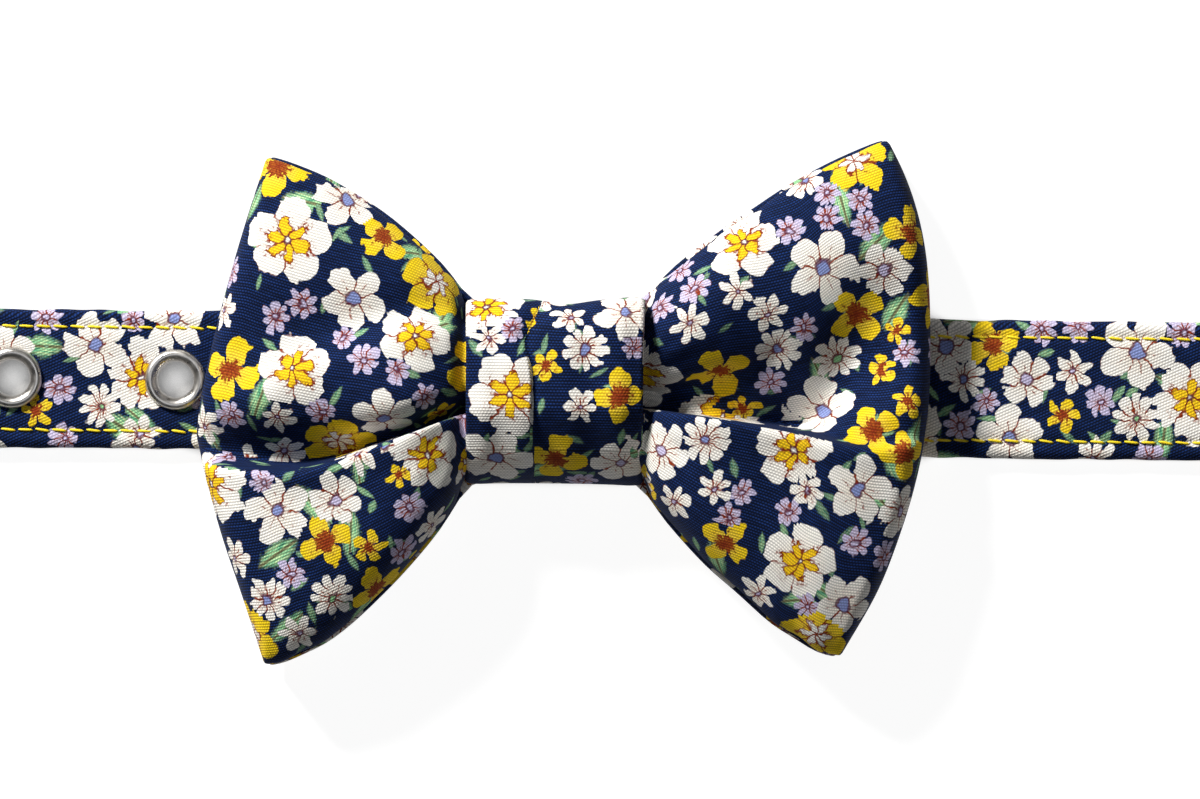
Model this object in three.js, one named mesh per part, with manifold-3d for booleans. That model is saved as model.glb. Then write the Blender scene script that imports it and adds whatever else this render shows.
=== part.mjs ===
// A pet collar with a bow tie, unfastened and lying flat on its back.
// The strap is cotton folded over webbing, with a tongue buckle at one end and metal eyelets at the other.
// The bow is one band of padded cloth folded into a flat loop and pinched in the middle by the knot,
// a second band that goes round the bow and the strap together.
// Millimetres. +X runs along the strap to the buckle, +Y across it, +Z up out of the bow.
// The origin is on the back of the knot, in line with the middle of the strap.
import * as THREE from "three";
import { mergeVertices } from "three/addons/utils/BufferGeometryUtils.js";
import Module from "manifold-3d";

const wasm = await Module();
wasm.setup();

const GAP = 0.3; // clearance between pieces that touch
const REACH = 20; // how far a cutting tool runs past what it cuts

const KNOT = {
  width: 26.4, // along the strap
  wall: 1.8,
  high: 12.3, // upper edge, from the strap's middle line
  low: -14.8, // lower edge
  depth: 19, // back to front
  corner: 5.5, // radius of the front corners of its section
  backCorner: 2.6,
  pleatAt: -3.4, // where the front is tucked, along the strap
  pleatDepth: 1.1,
  pleatWidth: 2.2,
};

const STRAP = {
  width: 20.4,
  thick: 2.4,
  tip: -180, // far end of the eyelet side
  tipRound: 7,
  lift: KNOT.wall + GAP, // height of its back inside the knot
  settled: 36, // distance from the knot's middle where its back lies flat again
  foldBack: 188, // where the end turned round the buckle's bar is stitched down again
  foldRise: 16, // length of the slope up onto the turned end
  joined: 212, // where the two layers part to go round the bar
  step: 4, // distance between the points of its side outline
  slot: 5.4, // width of the slot for the buckle's tongue
  slotStart: 214.5,
};

const EYELET = {
  first: -55.7, // the hole nearest the bow
  spacing: 24,
  count: 5,
  hole: 2.6, // radius of the clear hole
  rim: 4.5, // outer radius of both rims
  rise: 1.0, // height of the rolled front rim
  lip: 0.15, // straight edge under the roll
  seat: 0.1, // gap between the cloth and the front rim
  back: 0.45, // thickness of the flat back rim, let into the strap
  wall: 0.4, // of the barrel
  play: 0.15, // around the barrel and the back rim
};

const BUCKLE = {
  bar: 223, // where the bar lies along the strap
  wire: 3.2,
  bevel: 1.1,
  inside: 22, // clear width, for the strap
  length: 17, // clear length, bar to far rail
  corner: 3,
  tongueWidth: 3,
  tongueThick: 1.6,
  tipOut: 0.8, // the tongue's tip stands this far past the rail, and is this much higher on its top
  tipHigh: 0.4,
  tipLow: 0.1,
};

// The padded band that the bow is folded from.
const BAND = {
  thick: 2,
  waist: 10.6, // half its gathered width inside the knot
  waistMiddle: -1.25,
  bulge: 4.2, // how far the outer fold stands out from where the front and back end
  droop: 1.3, // how far the back sinks where it stands clear of the strap
  droopBy: 34, // distance from the bow's middle where it has sunk that far
  crown: 2.6, // the two powers that shape the dome across a wing
  shoulder: 0.8,
};

// The outline of each wing of the bow. The outer edge is furthest out at height peak, and falls back by
// slope, over a bend of radius round, to the corners at heights high and low. fanHigh and fanLow say how
// fast the cloth spreads out of the knot, on its upper and its lower edge.
const WINGS = {
  left: {
    side: -1,
    reach: 51.5,
    peak: -7,
    slope: 0.36,
    round: 8,
    high: 32.2,
    low: -41.4,
    fanHigh: 1.9,
    fanLow: 2.1,
  },
  right: {
    side: 1,
    reach: 53.7,
    peak: 3,
    slope: 0.55,
    round: 40,
    high: 35.6,
    low: -39.9,
    fanHigh: 1.45,
    fanLow: 1.6,
  },
};

// Sections across a wing, from the knot (out 0) to the outer fold (out 1): heights of the long edges and
// of the crest, then the fold that runs out of the knot: its depth, place and half width, the last two
// as shares of the wing's half height.
const SECTIONS = {
  left: [
    { out: 0.0, edge: 9.0, crest: 14.6, fold: 5.8, foldAt: -0.33, foldHalf: 0.3 },
    { out: 0.25, edge: 10.8, crest: 19.2, fold: 8.4, foldAt: -0.3, foldHalf: 0.24 },
    { out: 0.55, edge: 11.4, crest: 18.4, fold: 6.2, foldAt: -0.26, foldHalf: 0.22 },
    { out: 0.8, edge: 11.8, crest: 16.4, fold: 3.6, foldAt: -0.22, foldHalf: 0.22 },
    { out: 1.0, edge: 11.4, crest: 13.8, fold: 1.6, foldAt: -0.2, foldHalf: 0.25 },
  ],
  right: [
    { out: 0.0, edge: 9.0, crest: 14.6, fold: 5.8, foldAt: -0.12, foldHalf: 0.32 },
    { out: 0.25, edge: 10.8, crest: 19.0, fold: 9.0, foldAt: -0.08, foldHalf: 0.32 },
    { out: 0.55, edge: 11.4, crest: 18.6, fold: 6.6, foldAt: -0.06, foldHalf: 0.3 },
    { out: 0.8, edge: 12.0, crest: 16.8, fold: 3.2, foldAt: -0.08, foldHalf: 0.28 },
    { out: 1.0, edge: 11.6, crest: 14.2, fold: 1.0, foldAt: -0.1, foldHalf: 0.3 },
  ],
};

const { abs, cos, exp, floor, max, min, PI, sin, sqrt } = Math;

const mix = (a, b, t) => a + (b - a) * t;

function smooth(edge0, edge1, x) {
  const t = min(1, max(0, (x - edge0) / (edge1 - edge0)));
  return t * t * (3 - 2 * t);
}

// Reads a section table at a place between its rows, eased from row to row.
function sectionAt(rows, out) {
  const i = min(rows.length - 2, max(0, rows.findIndex((row) => row.out > out) - 1));
  const next = out >= 1 ? rows.length - 2 : i;
  const [a, b] = [rows[next], rows[next + 1]];
  const t = smooth(a.out, b.out, out);
  return Object.fromEntries(Object.keys(a).map((key) => [key, mix(a[key], b[key], t)]));
}

// The height of the strap's back along the strap.
function strapBack(x) {
  const inKnot = 1 - smooth(KNOT.width / 2 + 1, STRAP.settled, abs(x));
  const overFold = smooth(STRAP.foldBack - STRAP.foldRise, STRAP.foldBack, x);
  return STRAP.lift * inKnot + STRAP.thick * overFold;
}

// Turns a geometry into a manifold solid, with shared vertices merged.
function solidOf(geometry) {
  const bare = geometry.index ? geometry.toNonIndexed() : geometry.clone();
  bare.deleteAttribute("normal");
  bare.deleteAttribute("uv");
  const merged = mergeVertices(bare, 1e-4);
  return new wasm.Manifold(
    new wasm.Mesh({
      numProp: 3,
      vertProperties: merged.attributes.position.array,
      triVerts: new Uint32Array(merged.index.array),
    }),
  );
}

function geometryOf(solid) {
  const mesh = solid.getMesh();
  const geometry = new THREE.BufferGeometry();
  geometry.setAttribute("position", new THREE.BufferAttribute(mesh.vertProperties, 3));
  geometry.setIndex(new THREE.BufferAttribute(mesh.triVerts, 1));
  return geometry;
}

// A closed loop of cloth: rows of points go round the loop and columns go across it. middle(row, column)
// is a point of the cloth's middle surface, and the cloth is that surface made thick both ways.
function clothLoop(rows, columns, thick, middle) {
  const grid = Array.from({ length: rows }, (_, i) =>
    Array.from({ length: columns }, (_, j) => middle(i, j)),
  );
  const at = (i, j) => grid[(i + rows) % rows][min(columns - 1, max(0, j))];
  const normal = (i, j) => {
    const along = at(i + 1, j).clone().sub(at(i - 1, j));
    const across = at(i, j + 1).clone().sub(at(i, j - 1));
    return along.cross(across).normalize();
  };
  const points = [];
  for (const out of [thick / 2, -thick / 2])
    for (let i = 0; i < rows; i++)
      for (let j = 0; j < columns; j++) points.push(at(i, j).clone().addScaledVector(normal(i, j), out));
  const index = [];
  const id = (face, i, j) => face * rows * columns + (i % rows) * columns + j;
  const quad = (a, b, c, d) => index.push(a, b, c, a, c, d);
  for (let i = 0; i < rows; i++) {
    for (let j = 0; j + 1 < columns; j++) {
      quad(id(0, i, j), id(0, i + 1, j), id(0, i + 1, j + 1), id(0, i, j + 1));
      quad(id(1, i, j), id(1, i, j + 1), id(1, i + 1, j + 1), id(1, i + 1, j));
    }
    const last = columns - 1;
    quad(id(0, i, last), id(0, i + 1, last), id(1, i + 1, last), id(1, i, last));
    quad(id(0, i, 0), id(1, i, 0), id(1, i + 1, 0), id(0, i + 1, 0));
  }
  const geometry = new THREE.BufferGeometry().setFromPoints(points);
  geometry.setIndex(index);
  return geometry;
}

// How far out the wing's outer edge is, at a height y.
function outerReach(wing, y) {
  return wing.reach - wing.slope * (sqrt((y - wing.peak) ** 2 + wing.round ** 2) - wing.round);
}

// Height y of a line of the cloth: across runs from -1 on the lower edge to 1 on the upper one.
function lineHeight(wing, out, across) {
  const share = (across + 1) / 2;
  const atKnot = BAND.waistMiddle + BAND.waist * across;
  const atEdge = mix(wing.low, wing.high, share);
  return mix(atKnot, atEdge, 1 - (1 - out) ** mix(wing.fanLow, wing.fanHigh, share));
}

// The front of a wing: domed across, with the fold that runs out of the knot pressed into it.
function frontHeight(rows, out, across) {
  const row = sectionAt(rows, out);
  const dome = (1 - abs(across) ** BAND.crown) ** BAND.shoulder;
  const fold = exp(-(((across - row.foldAt) / row.foldHalf) ** 2));
  return mix(row.edge, row.crest, dome) - row.fold * fold;
}

// The back of a wing lies on the strap and droops a little where it stands clear of it.
function backHeight(x, y) {
  const onStrap = strapBack(x) + STRAP.thick + GAP + BAND.thick / 2;
  const pastStrap = smooth(STRAP.width / 2 + 1, BAND.droopBy, abs(y));
  const pastKnot = smooth(KNOT.width / 2, BAND.droopBy, abs(x));
  return onStrap - BAND.droop * pastStrap * pastKnot;
}

function bowBand() {
  const columns = 25;
  const [frontSteps, foldSteps, backSteps] = [11, 4, 8];
  const half = KNOT.width / 2 + 2 * GAP; // the cloth spreads once it is out of the knot
  // The front, fold and back of one wing, as functions of across, from the knot's middle outwards and back.
  const wingRows = (name) => {
    const wing = WINGS[name];
    const rows = SECTIONS[name];
    const edgeX = (across) => outerReach(wing, lineHeight(wing, 1, across)) - BAND.bulge;
    const front = (out) => (across) => {
      const x = mix(half, edgeX(across), out);
      const y = lineHeight(wing, out, across);
      return new THREE.Vector3(wing.side * x, y, frontHeight(rows, out, across));
    };
    const back = (out) => (across) => {
      const y = lineHeight(wing, out, across);
      const x = wing.side * mix(half, edgeX(across), out);
      return new THREE.Vector3(x, y, backHeight(x, y));
    };
    const turn = (share) => (across) => {
      const [high, low] = [front(1)(across), back(1)(across)];
      const point = high.clone().lerp(low, (1 - cos(PI * share)) / 2);
      point.x += wing.side * BAND.bulge * sin(PI * share);
      return point;
    };
    const steps = (n) => Array.from({ length: n + 1 }, (_, i) => i / n);
    return [
      ...steps(frontSteps).map(front),
      ...steps(foldSteps).slice(1, -1).map(turn),
      ...steps(backSteps).reverse().map(back),
    ];
  };
  const waist = (side) => (across) =>
    new THREE.Vector3(
      0,
      BAND.waistMiddle + BAND.waist * across,
      side > 0 ? frontHeight(SECTIONS.right, 0, across) : backHeight(0, 0),
    );
  const [right, left] = [wingRows("right"), wingRows("left")];
  const loop = [waist(1), ...right, waist(-1), ...left.reverse()];
  return clothLoop(loop.length, columns, BAND.thick, (i, j) => loop[i]((2 * j) / (columns - 1) - 1));
}

// Point number step on a rectangle with round corners, in the knot's section, walked once round.
function knotSection(step, cornerSteps) {
  const inset = KNOT.wall / 2;
  const which = floor(step / (cornerSteps + 1));
  const angle = (PI / 2) * (which + (step % (cornerSteps + 1)) / cornerSteps);
  const front = which < 2;
  const corner = (front ? KNOT.corner : KNOT.backCorner) - inset;
  const y = which === 0 || which === 3 ? KNOT.high - inset - corner : KNOT.low + inset + corner;
  const z = front ? KNOT.depth - inset - corner : inset + corner;
  return [y + corner * cos(angle), z + corner * sin(angle)];
}

function knotBand() {
  const cornerSteps = 5;
  const rows = 4 * (cornerSteps + 1);
  const columns = 13;
  return clothLoop(rows, columns, KNOT.wall, (i, j) => {
    const x = KNOT.width * (j / (columns - 1) - 0.5);
    const tuck = KNOT.pleatDepth * exp(-(((x - KNOT.pleatAt) / KNOT.pleatWidth) ** 2));
    const [y, z] = knotSection(i, cornerSteps);
    return new THREE.Vector3(x, y, z - tuck * smooth(KNOT.depth * 0.6, KNOT.depth - KNOT.wall / 2, z));
  });
}

// The strap from the side, with its end turned round the buckle's bar and stitched down under it.
function strapSide() {
  const barHeight = STRAP.thick + GAP + BUCKLE.wire / 2;
  const eye = BUCKLE.wire / 2 + GAP;
  const outer = eye + STRAP.thick;
  const stations = [];
  for (let x = STRAP.tip; x < STRAP.joined; x += STRAP.step) stations.push(x);
  stations.push(STRAP.joined);
  const shape = new THREE.Shape();
  shape.moveTo(STRAP.tip, strapBack(STRAP.tip));
  stations
    .filter((x) => x < STRAP.foldBack)
    .slice(1)
    .forEach((x) => shape.lineTo(x, strapBack(x)));
  shape.lineTo(STRAP.foldBack, STRAP.thick);
  shape.lineTo(STRAP.foldBack + 0.5, 0);
  shape.lineTo(BUCKLE.bar, 0);
  shape.absarc(BUCKLE.bar, barHeight, outer, -PI / 2, PI / 2, false);
  stations.reverse().forEach((x) => shape.lineTo(x, strapBack(x) + STRAP.thick));
  const hole = new THREE.Path();
  hole.moveTo(STRAP.joined + 1, STRAP.thick + GAP / 2);
  hole.lineTo(BUCKLE.bar, barHeight + eye);
  hole.absarc(BUCKLE.bar, barHeight, eye, PI / 2, -PI / 2, true);
  shape.holes.push(hole);
  const solid = new THREE.ExtrudeGeometry(shape, {
    depth: STRAP.width,
    bevelEnabled: false,
    curveSegments: 10,
  });
  solid.rotateX(PI / 2).translate(0, STRAP.width / 2, 0);
  return solid;
}

// The strap from above: a round tip at one end, square at the other.
function strapPlan() {
  const half = STRAP.width / 2;
  const [tip, round] = [STRAP.tip, STRAP.tipRound];
  const shape = new THREE.Shape();
  shape.moveTo(BUCKLE.bar + REACH, -half);
  shape.lineTo(BUCKLE.bar + REACH, half);
  shape.lineTo(tip + round, half);
  shape.absarc(tip + round, half - round, round, PI / 2, PI, false);
  shape.lineTo(tip, round - half);
  shape.absarc(tip + round, round - half, round, PI, 1.5 * PI, false);
  const plan = new THREE.ExtrudeGeometry(shape, { depth: 2 * REACH, bevelEnabled: false, curveSegments: 6 });
  return plan.translate(0, 0, -REACH);
}

// The cutter for one eyelet: its barrel's hole, and the pocket that lets its back rim in flush.
function eyeletCutter(x) {
  const barrel = EYELET.hole + EYELET.wall + EYELET.play;
  const pocket = EYELET.rim + EYELET.play;
  const depth = EYELET.back + EYELET.play;
  const profile = [
    [0, -REACH],
    [pocket, -REACH],
    [pocket, depth],
    [barrel, depth],
    [barrel, REACH],
    [0, REACH],
  ].map(([r, z]) => new THREE.Vector2(r, z));
  return new THREE.LatheGeometry(profile, 20).rotateX(PI / 2).translate(x, 0, 0);
}

// A block that holds everything between two places along the strap.
function stretch(from, to) {
  const block = new THREE.BoxGeometry(to - from, 2 * STRAP.width, 2 * STRAP.width);
  return solidOf(block.translate((from + to) / 2, 0, 0));
}

// The strap in two pieces that meet where it starts to rise over its turned end: the long flat run with
// the eyelets, and the sewn loop that holds the buckle.
function strapPieces() {
  let solid = solidOf(strapSide()).intersect(solidOf(strapPlan()));
  for (let i = 0; i < EYELET.count; i++)
    solid = solid.subtract(solidOf(eyeletCutter(EYELET.first - i * EYELET.spacing)));
  const slot = new THREE.BoxGeometry(REACH, STRAP.slot, 2 * REACH);
  solid = solid.subtract(solidOf(slot.translate(STRAP.slotStart + REACH / 2, 0, 0)));
  const meeting = STRAP.foldBack - STRAP.foldRise;
  const run = solid.intersect(stretch(STRAP.tip - REACH, meeting - GAP / 2));
  const loop = solid.intersect(stretch(meeting + GAP / 2, BUCKLE.bar + REACH));
  return [geometryOf(run), geometryOf(loop)];
}

// A two-part eyelet pressed shut: a rolled rim in front, a barrel through the strap and a flat rim behind.
function eyelet() {
  const { hole, rim, rise, lip, back, wall } = EYELET;
  const face = STRAP.thick + EYELET.seat;
  const roll = (rim - hole) / 2; // half width of the rolled rim
  const profile = [
    [hole, 0],
    [rim, 0],
    [rim, back],
    [hole + wall, back],
    [hole + wall, face],
    [rim, face],
  ];
  const rollSteps = 5;
  for (let k = 0; k <= rollSteps; k++) {
    const angle = (PI * k) / rollSteps;
    profile.push([rim - roll + roll * cos(angle), face + lip + (rise - lip) * sin(angle)]);
  }
  profile.push([hole, 0]);
  const points = profile.map(([r, z]) => new THREE.Vector2(r, z));
  return new THREE.LatheGeometry(points, 20).rotateX(PI / 2);
}

// The frame, bar and tongue of the buckle, in one piece.
function buckle() {
  const { bar, wire, bevel, inside, length, corner } = BUCKLE;
  const height = STRAP.thick + GAP + wire / 2;
  const farRail = bar + wire + length;
  const ring = (x0, x1, y, r) => {
    const path = new THREE.Shape();
    path.moveTo(x0 + r, -y);
    path.lineTo(x1 - r, -y);
    path.absarc(x1 - r, r - y, r, -PI / 2, 0, false);
    path.lineTo(x1, y - r);
    path.absarc(x1 - r, y - r, r, 0, PI / 2, false);
    path.lineTo(x0 + r, y);
    path.absarc(x0 + r, y - r, r, PI / 2, PI, false);
    path.lineTo(x0, r - y);
    path.absarc(x0 + r, r - y, r, PI, 1.5 * PI, false);
    return path;
  };
  const [x0, x1, y] = [bar - wire / 2 + bevel, farRail + wire / 2 - bevel, inside / 2 + wire - bevel];
  const rail = wire - 2 * bevel;
  const frameShape = ring(x0, x1, y, corner);
  frameShape.holes.push(ring(x0 + rail, x1 - rail, y - rail, corner / 3));
  const frame = new THREE.ExtrudeGeometry(frameShape, {
    depth: rail,
    bevelThickness: bevel,
    bevelSize: bevel,
    bevelSegments: 2,
    curveSegments: 4,
  }).translate(0, 0, height - rail / 2);
  const over = wire / 2 + BUCKLE.tongueThick;
  const side = new THREE.Shape();
  side.moveTo(bar, height - over);
  side.absarc(bar, height, over, -PI / 2, -1.5 * PI, true);
  side.lineTo(farRail, height + over);
  side.lineTo(farRail + wire / 2 + BUCKLE.tipOut, height + wire / 2 + BUCKLE.tipHigh);
  side.lineTo(farRail, height + wire / 2 - BUCKLE.tipLow);
  side.lineTo(bar + over, height);
  const tongue = new THREE.ExtrudeGeometry(side, {
    depth: BUCKLE.tongueWidth,
    bevelEnabled: false,
    curveSegments: 8,
  });
  tongue.rotateX(PI / 2).translate(0, BUCKLE.tongueWidth / 2, 0);
  return geometryOf(solidOf(frame).add(solidOf(tongue)));
}

const cotton = new THREE.MeshStandardMaterial({ color: 0x12214a, roughness: 0.85, metalness: 0 });
const strapCotton = new THREE.MeshStandardMaterial({ color: 0x14244c, roughness: 0.85, metalness: 0 });
const steel = new THREE.MeshStandardMaterial({ color: 0xb9b6b0, roughness: 0.3, metalness: 1 });

function piece(name, geometry, material) {
  const mesh = new THREE.Mesh(geometry, material);
  mesh.name = name;
  return mesh;
}

const collar = new THREE.Group();
const [strapRun, strapLoop] = strapPieces();
collar.add(piece("strap", strapRun, strapCotton));
collar.add(piece("strap_loop", strapLoop, strapCotton));
for (let i = 0; i < EYELET.count; i++) {
  const ring = piece(`eyelet_${i + 1}`, eyelet(), steel);
  ring.position.x = EYELET.first - i * EYELET.spacing;
  collar.add(ring);
}
collar.add(piece("buckle", buckle(), steel));
collar.add(piece("bow", bowBand(), cotton));
collar.add(piece("knot", knotBand(), cotton));

export default collar;
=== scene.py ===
"""A pet collar with a bow tie, unfastened and lying flat on its back.

The cloth pieces are worked out in millimetres as grids of points, with a printed flower chart and the
threads of the weave laid along the cloth. +X runs along the strap to the buckle, +Y across it, +Z up.
"""

import math

import bmesh
import bpy
import numpy as np
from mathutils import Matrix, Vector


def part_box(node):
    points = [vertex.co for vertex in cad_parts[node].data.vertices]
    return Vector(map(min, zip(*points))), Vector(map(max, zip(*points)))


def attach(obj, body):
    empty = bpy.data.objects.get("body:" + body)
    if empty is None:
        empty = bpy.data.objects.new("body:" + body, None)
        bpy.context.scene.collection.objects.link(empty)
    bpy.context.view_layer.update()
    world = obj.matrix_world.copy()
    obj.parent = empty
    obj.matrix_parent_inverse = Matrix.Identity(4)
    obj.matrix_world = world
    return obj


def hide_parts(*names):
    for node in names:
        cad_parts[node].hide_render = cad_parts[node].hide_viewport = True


MM = 0.001

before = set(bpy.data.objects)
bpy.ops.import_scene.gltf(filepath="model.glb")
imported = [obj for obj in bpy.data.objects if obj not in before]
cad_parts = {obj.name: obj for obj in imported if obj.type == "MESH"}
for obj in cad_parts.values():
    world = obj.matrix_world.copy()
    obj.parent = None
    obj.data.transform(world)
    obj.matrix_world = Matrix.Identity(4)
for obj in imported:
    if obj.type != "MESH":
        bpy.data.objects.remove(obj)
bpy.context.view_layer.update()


def box_mm(*nodes):
    """Lowest and highest corner of some CAD nodes, in millimetres."""
    lows, highs = zip(*(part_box(name) for name in nodes))
    return np.min(lows, axis=0) / MM, np.max(highs, axis=0) / MM


KNOT_LOW, KNOT_HIGH = box_mm("knot")
STRAP_LOW, STRAP_HIGH = box_mm("strap", "strap_loop")
BUCKLE_HIGH = box_mm("buckle")[1]
EYELETS = sorted(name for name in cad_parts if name.startswith("eyelet"))

CLOTH = 1.8  # thickness of the padded bands
KNOT_HALF = KNOT_HIGH[0]  # half the knot's width

# ---------------------------------------------------------------- numbers


def mix(a, b, t):
    """From a to b, as t goes from 0 to 1."""
    return a + (b - a) * t


def smooth(start, end, x):
    """From 0 to 1, as x goes from start to end, level at both."""
    t = np.clip((x - start) / (end - start), 0, 1)
    return t * t * (3 - 2 * t)


def hump(x, middle, half):
    """A round hump: 1 in the middle, and 0.37 at half a width from it."""
    return np.exp(-(((x - middle) / half) ** 2))


def curve_through(xs, ys, x):
    """A smooth curve through the points (xs, ys), read at x."""
    xs, ys = np.asarray(xs, float), np.asarray(ys, float)
    slopes = np.gradient(ys, xs)
    x = np.clip(x, xs[0], xs[-1])
    i = np.clip(np.searchsorted(xs, x, side="right") - 1, 0, len(xs) - 2)
    step = xs[i + 1] - xs[i]
    t = (x - xs[i]) / step
    ends = (2 * t**3 - 3 * t**2 + 1) * ys[i] + (3 * t**2 - 2 * t**3) * ys[i + 1]
    return ends + step * ((t**3 - 2 * t**2 + t) * slopes[i] + (t**3 - t**2) * slopes[i + 1])


def unit(vectors):
    """The same vectors, each of length 1."""
    return vectors / np.maximum(np.linalg.norm(vectors, axis=-1, keepdims=True), 1e-9)


def respaced(line, count):
    """The same line, with count points at even distances along it."""
    steps = np.linalg.norm(np.diff(line, axis=0), axis=1)
    length = np.concatenate([[0], np.cumsum(steps)])
    even = np.linspace(0, length[-1], count)
    return np.stack([np.interp(even, length, line[:, k]) for k in range(line.shape[1])], axis=1)


def ripples(x, y, waves, seed):
    """Uneven low ripples, as cloth has that was never pressed: a sum of waves in seeded directions."""
    random = np.random.default_rng(seed)
    total = np.zeros_like(x)
    for _ in range(8):
        turn, phase = random.uniform(0, 2 * np.pi, 2)
        length = random.uniform(*waves)
        total += np.sin((x * np.cos(turn) + y * np.sin(turn)) * 2 * np.pi / length + phase)
    return total / 4


# ---------------------------------------------------------------- cloth grids


def grid_normals(points):
    """Normals of a closed band, whose rows of points run along the cloth and whose columns run across."""
    along = np.roll(points, -1, axis=0) - np.roll(points, 1, axis=0)
    return unit(np.cross(along, np.gradient(points, axis=1)))


def relaxed(points, times):
    """Evens a closed band out a little, without moving its long edges in."""
    for _ in range(times):
        before = np.roll(points, 1, axis=0)
        after = np.roll(points, -1, axis=0)
        points = 0.5 * points + 0.25 * (before + after)
        inner = 0.5 * points[:, 1:-1] + 0.25 * (points[:, :-2] + points[:, 2:])
        points = np.concatenate([points[:, :1], inner, points[:, -1:]], axis=1)
    return points


RIM_POINTS = 4  # points round a folded long edge, between its outside and its inside
SEAM_JUMP, CELL_STEP = 5.0, 0.4  # mm: more than any cell's length, and about one cell's


def thickened(outer, thick):
    """Makes a closed band into cloth with rounded long edges. Each row becomes one ring of points: the
    outside, an edge, the inside and the other edge."""
    normals = grid_normals(outer)
    inner = outer - thick * relaxed(normals, 3)
    inner = relaxed(inner, 2)

    def edge(column, beside):
        out = unit(outer[:, column] - outer[:, beside])
        middle = (outer[:, column] + inner[:, column]) / 2
        up = (outer[:, column] - inner[:, column]) / 2
        angles = np.linspace(0, np.pi, RIM_POINTS + 2)[1:-1]
        return np.stack([middle + up * np.cos(a) + out * thick / 2 * np.sin(a) for a in angles], axis=1)

    far = edge(-1, -2)
    near = edge(0, 1)[:, ::-1]
    return np.concatenate([outer, far, inner[:, ::-1], near], axis=1)


def ring_faces(rows, ring, closed):
    """Quads between the rings of points, as vertex numbers."""
    i = np.arange(rows if closed else rows - 1)[:, None]
    j = np.arange(ring)[None, :]
    after, beside = (i + 1) % rows, (j + 1) % ring
    corners = [i * ring + j, after * ring + j, after * ring + beside, i * ring + beside]
    return np.stack([np.broadcast_to(c, (i.size, ring)) for c in corners], axis=-1).reshape(-1, 4)


def face_corners(grid):
    """A value for each corner of each quad of a closed band, from the values at its points."""
    return grid.reshape(-1)[ring_faces(*grid.shape, True)]


def carry_across(values):
    """The last column of a band closes onto its first, so the far corners there are carried on."""
    closing = np.abs(values[:, 3] - values[:, 0]) > SEAM_JUMP
    values[closing, 2:] = values[closing, :2] + CELL_STEP


def carry_along(values):
    """The same for the last row, which closes onto the first."""
    closing = np.abs(values[:, 1] - values[:, 0]) > SEAM_JUMP
    values[closing, 1:3] = values[closing, 0:1] + CELL_STEP


def mesh_object(name, points, faces, material):
    """A smooth-shaded mesh from points in millimetres, riding on the collar's one body."""
    mesh = bpy.data.meshes.new(name)
    mesh.from_pydata((np.asarray(points).reshape(-1, 3) * MM).tolist(), [], [list(f) for f in faces])
    mesh.polygons.foreach_set("use_smooth", [True] * len(mesh.polygons))
    mesh.materials.append(material)
    mesh.update()
    piece = bpy.data.objects.new(name, mesh)
    bpy.context.scene.collection.objects.link(piece)
    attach(piece, "root")
    return piece


# ---------------------------------------------------------------- colours


def linear(hex_colour):
    """An sRGB hex colour as linear red, green, blue and alpha."""
    parts = [int(hex_colour[i : i + 2], 16) / 255 for i in (1, 3, 5)]
    return [c / 12.92 if c <= 0.04045 else ((c + 0.055) / 1.055) ** 2.4 for c in parts] + [1.0]


CREAM, YELLOW, GOLD = "#f5f2ec", "#f3d020", "#f5c81e"
LILAC, BLUE, RUST, PALE_GREEN = "#c3bbdc", "#8795cc", "#8a3415", "#8fc48f"
# NAVY_LIT is the same navy ground, painted as lit, for the tops of the threads.
NAVY, NAVY_LIT, MAROON, UMBER = "#020a20", "#16336e", "#5a2038", "#a2501a"

# ---------------------------------------------------------------- the printed flowers

# Kinds of bloom: radius in mm, number of petals, how deep the gaps between them are, how round the
# petals are (1 is pointed, 3 is broad and round), radius of the heart disc and of the inner star as
# shares of the bloom, points of the star, and the colours of petals, heart and star.
BLOOMS = {
    "rose": (6.5, 5, 0.30, 2.8, 0.07, 0.50, 6, CREAM, CREAM, GOLD),
    "anemone": (5.9, 5, 0.46, 2.3, 0.19, 0.0, 5, CREAM, BLUE, LILAC),
    "cosmos": (4.7, 6, 0.32, 3.0, 0.20, 0.0, 6, CREAM, LILAC, LILAC),
    "daisy": (3.9, 9, 0.44, 2.8, 0.22, 0.0, 9, CREAM, BLUE, BLUE),
    "green_daisy": (3.9, 9, 0.46, 2.6, 0.15, 0.0, 9, CREAM, PALE_GREEN, PALE_GREEN),
    "star": (3.2, 6, 0.60, 1.8, 0.14, 0.0, 6, CREAM, LILAC, RUST),
    "lilac": (2.5, 7, 0.42, 2.4, 0.20, 0.0, 7, LILAC, LILAC, MAROON),
    "buttercup": (4.8, 4, 0.68, 2.4, 0.0, 0.36, 9, YELLOW, RUST, UMBER),
    "primrose": (6.0, 5, 0.30, 2.8, 0.0, 0.46, 6, YELLOW, CREAM, CREAM),
    "sprig": (2.6, 5, 0.66, 2.0, 0.0, 0.28, 5, YELLOW, RUST, UMBER),
}

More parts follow.
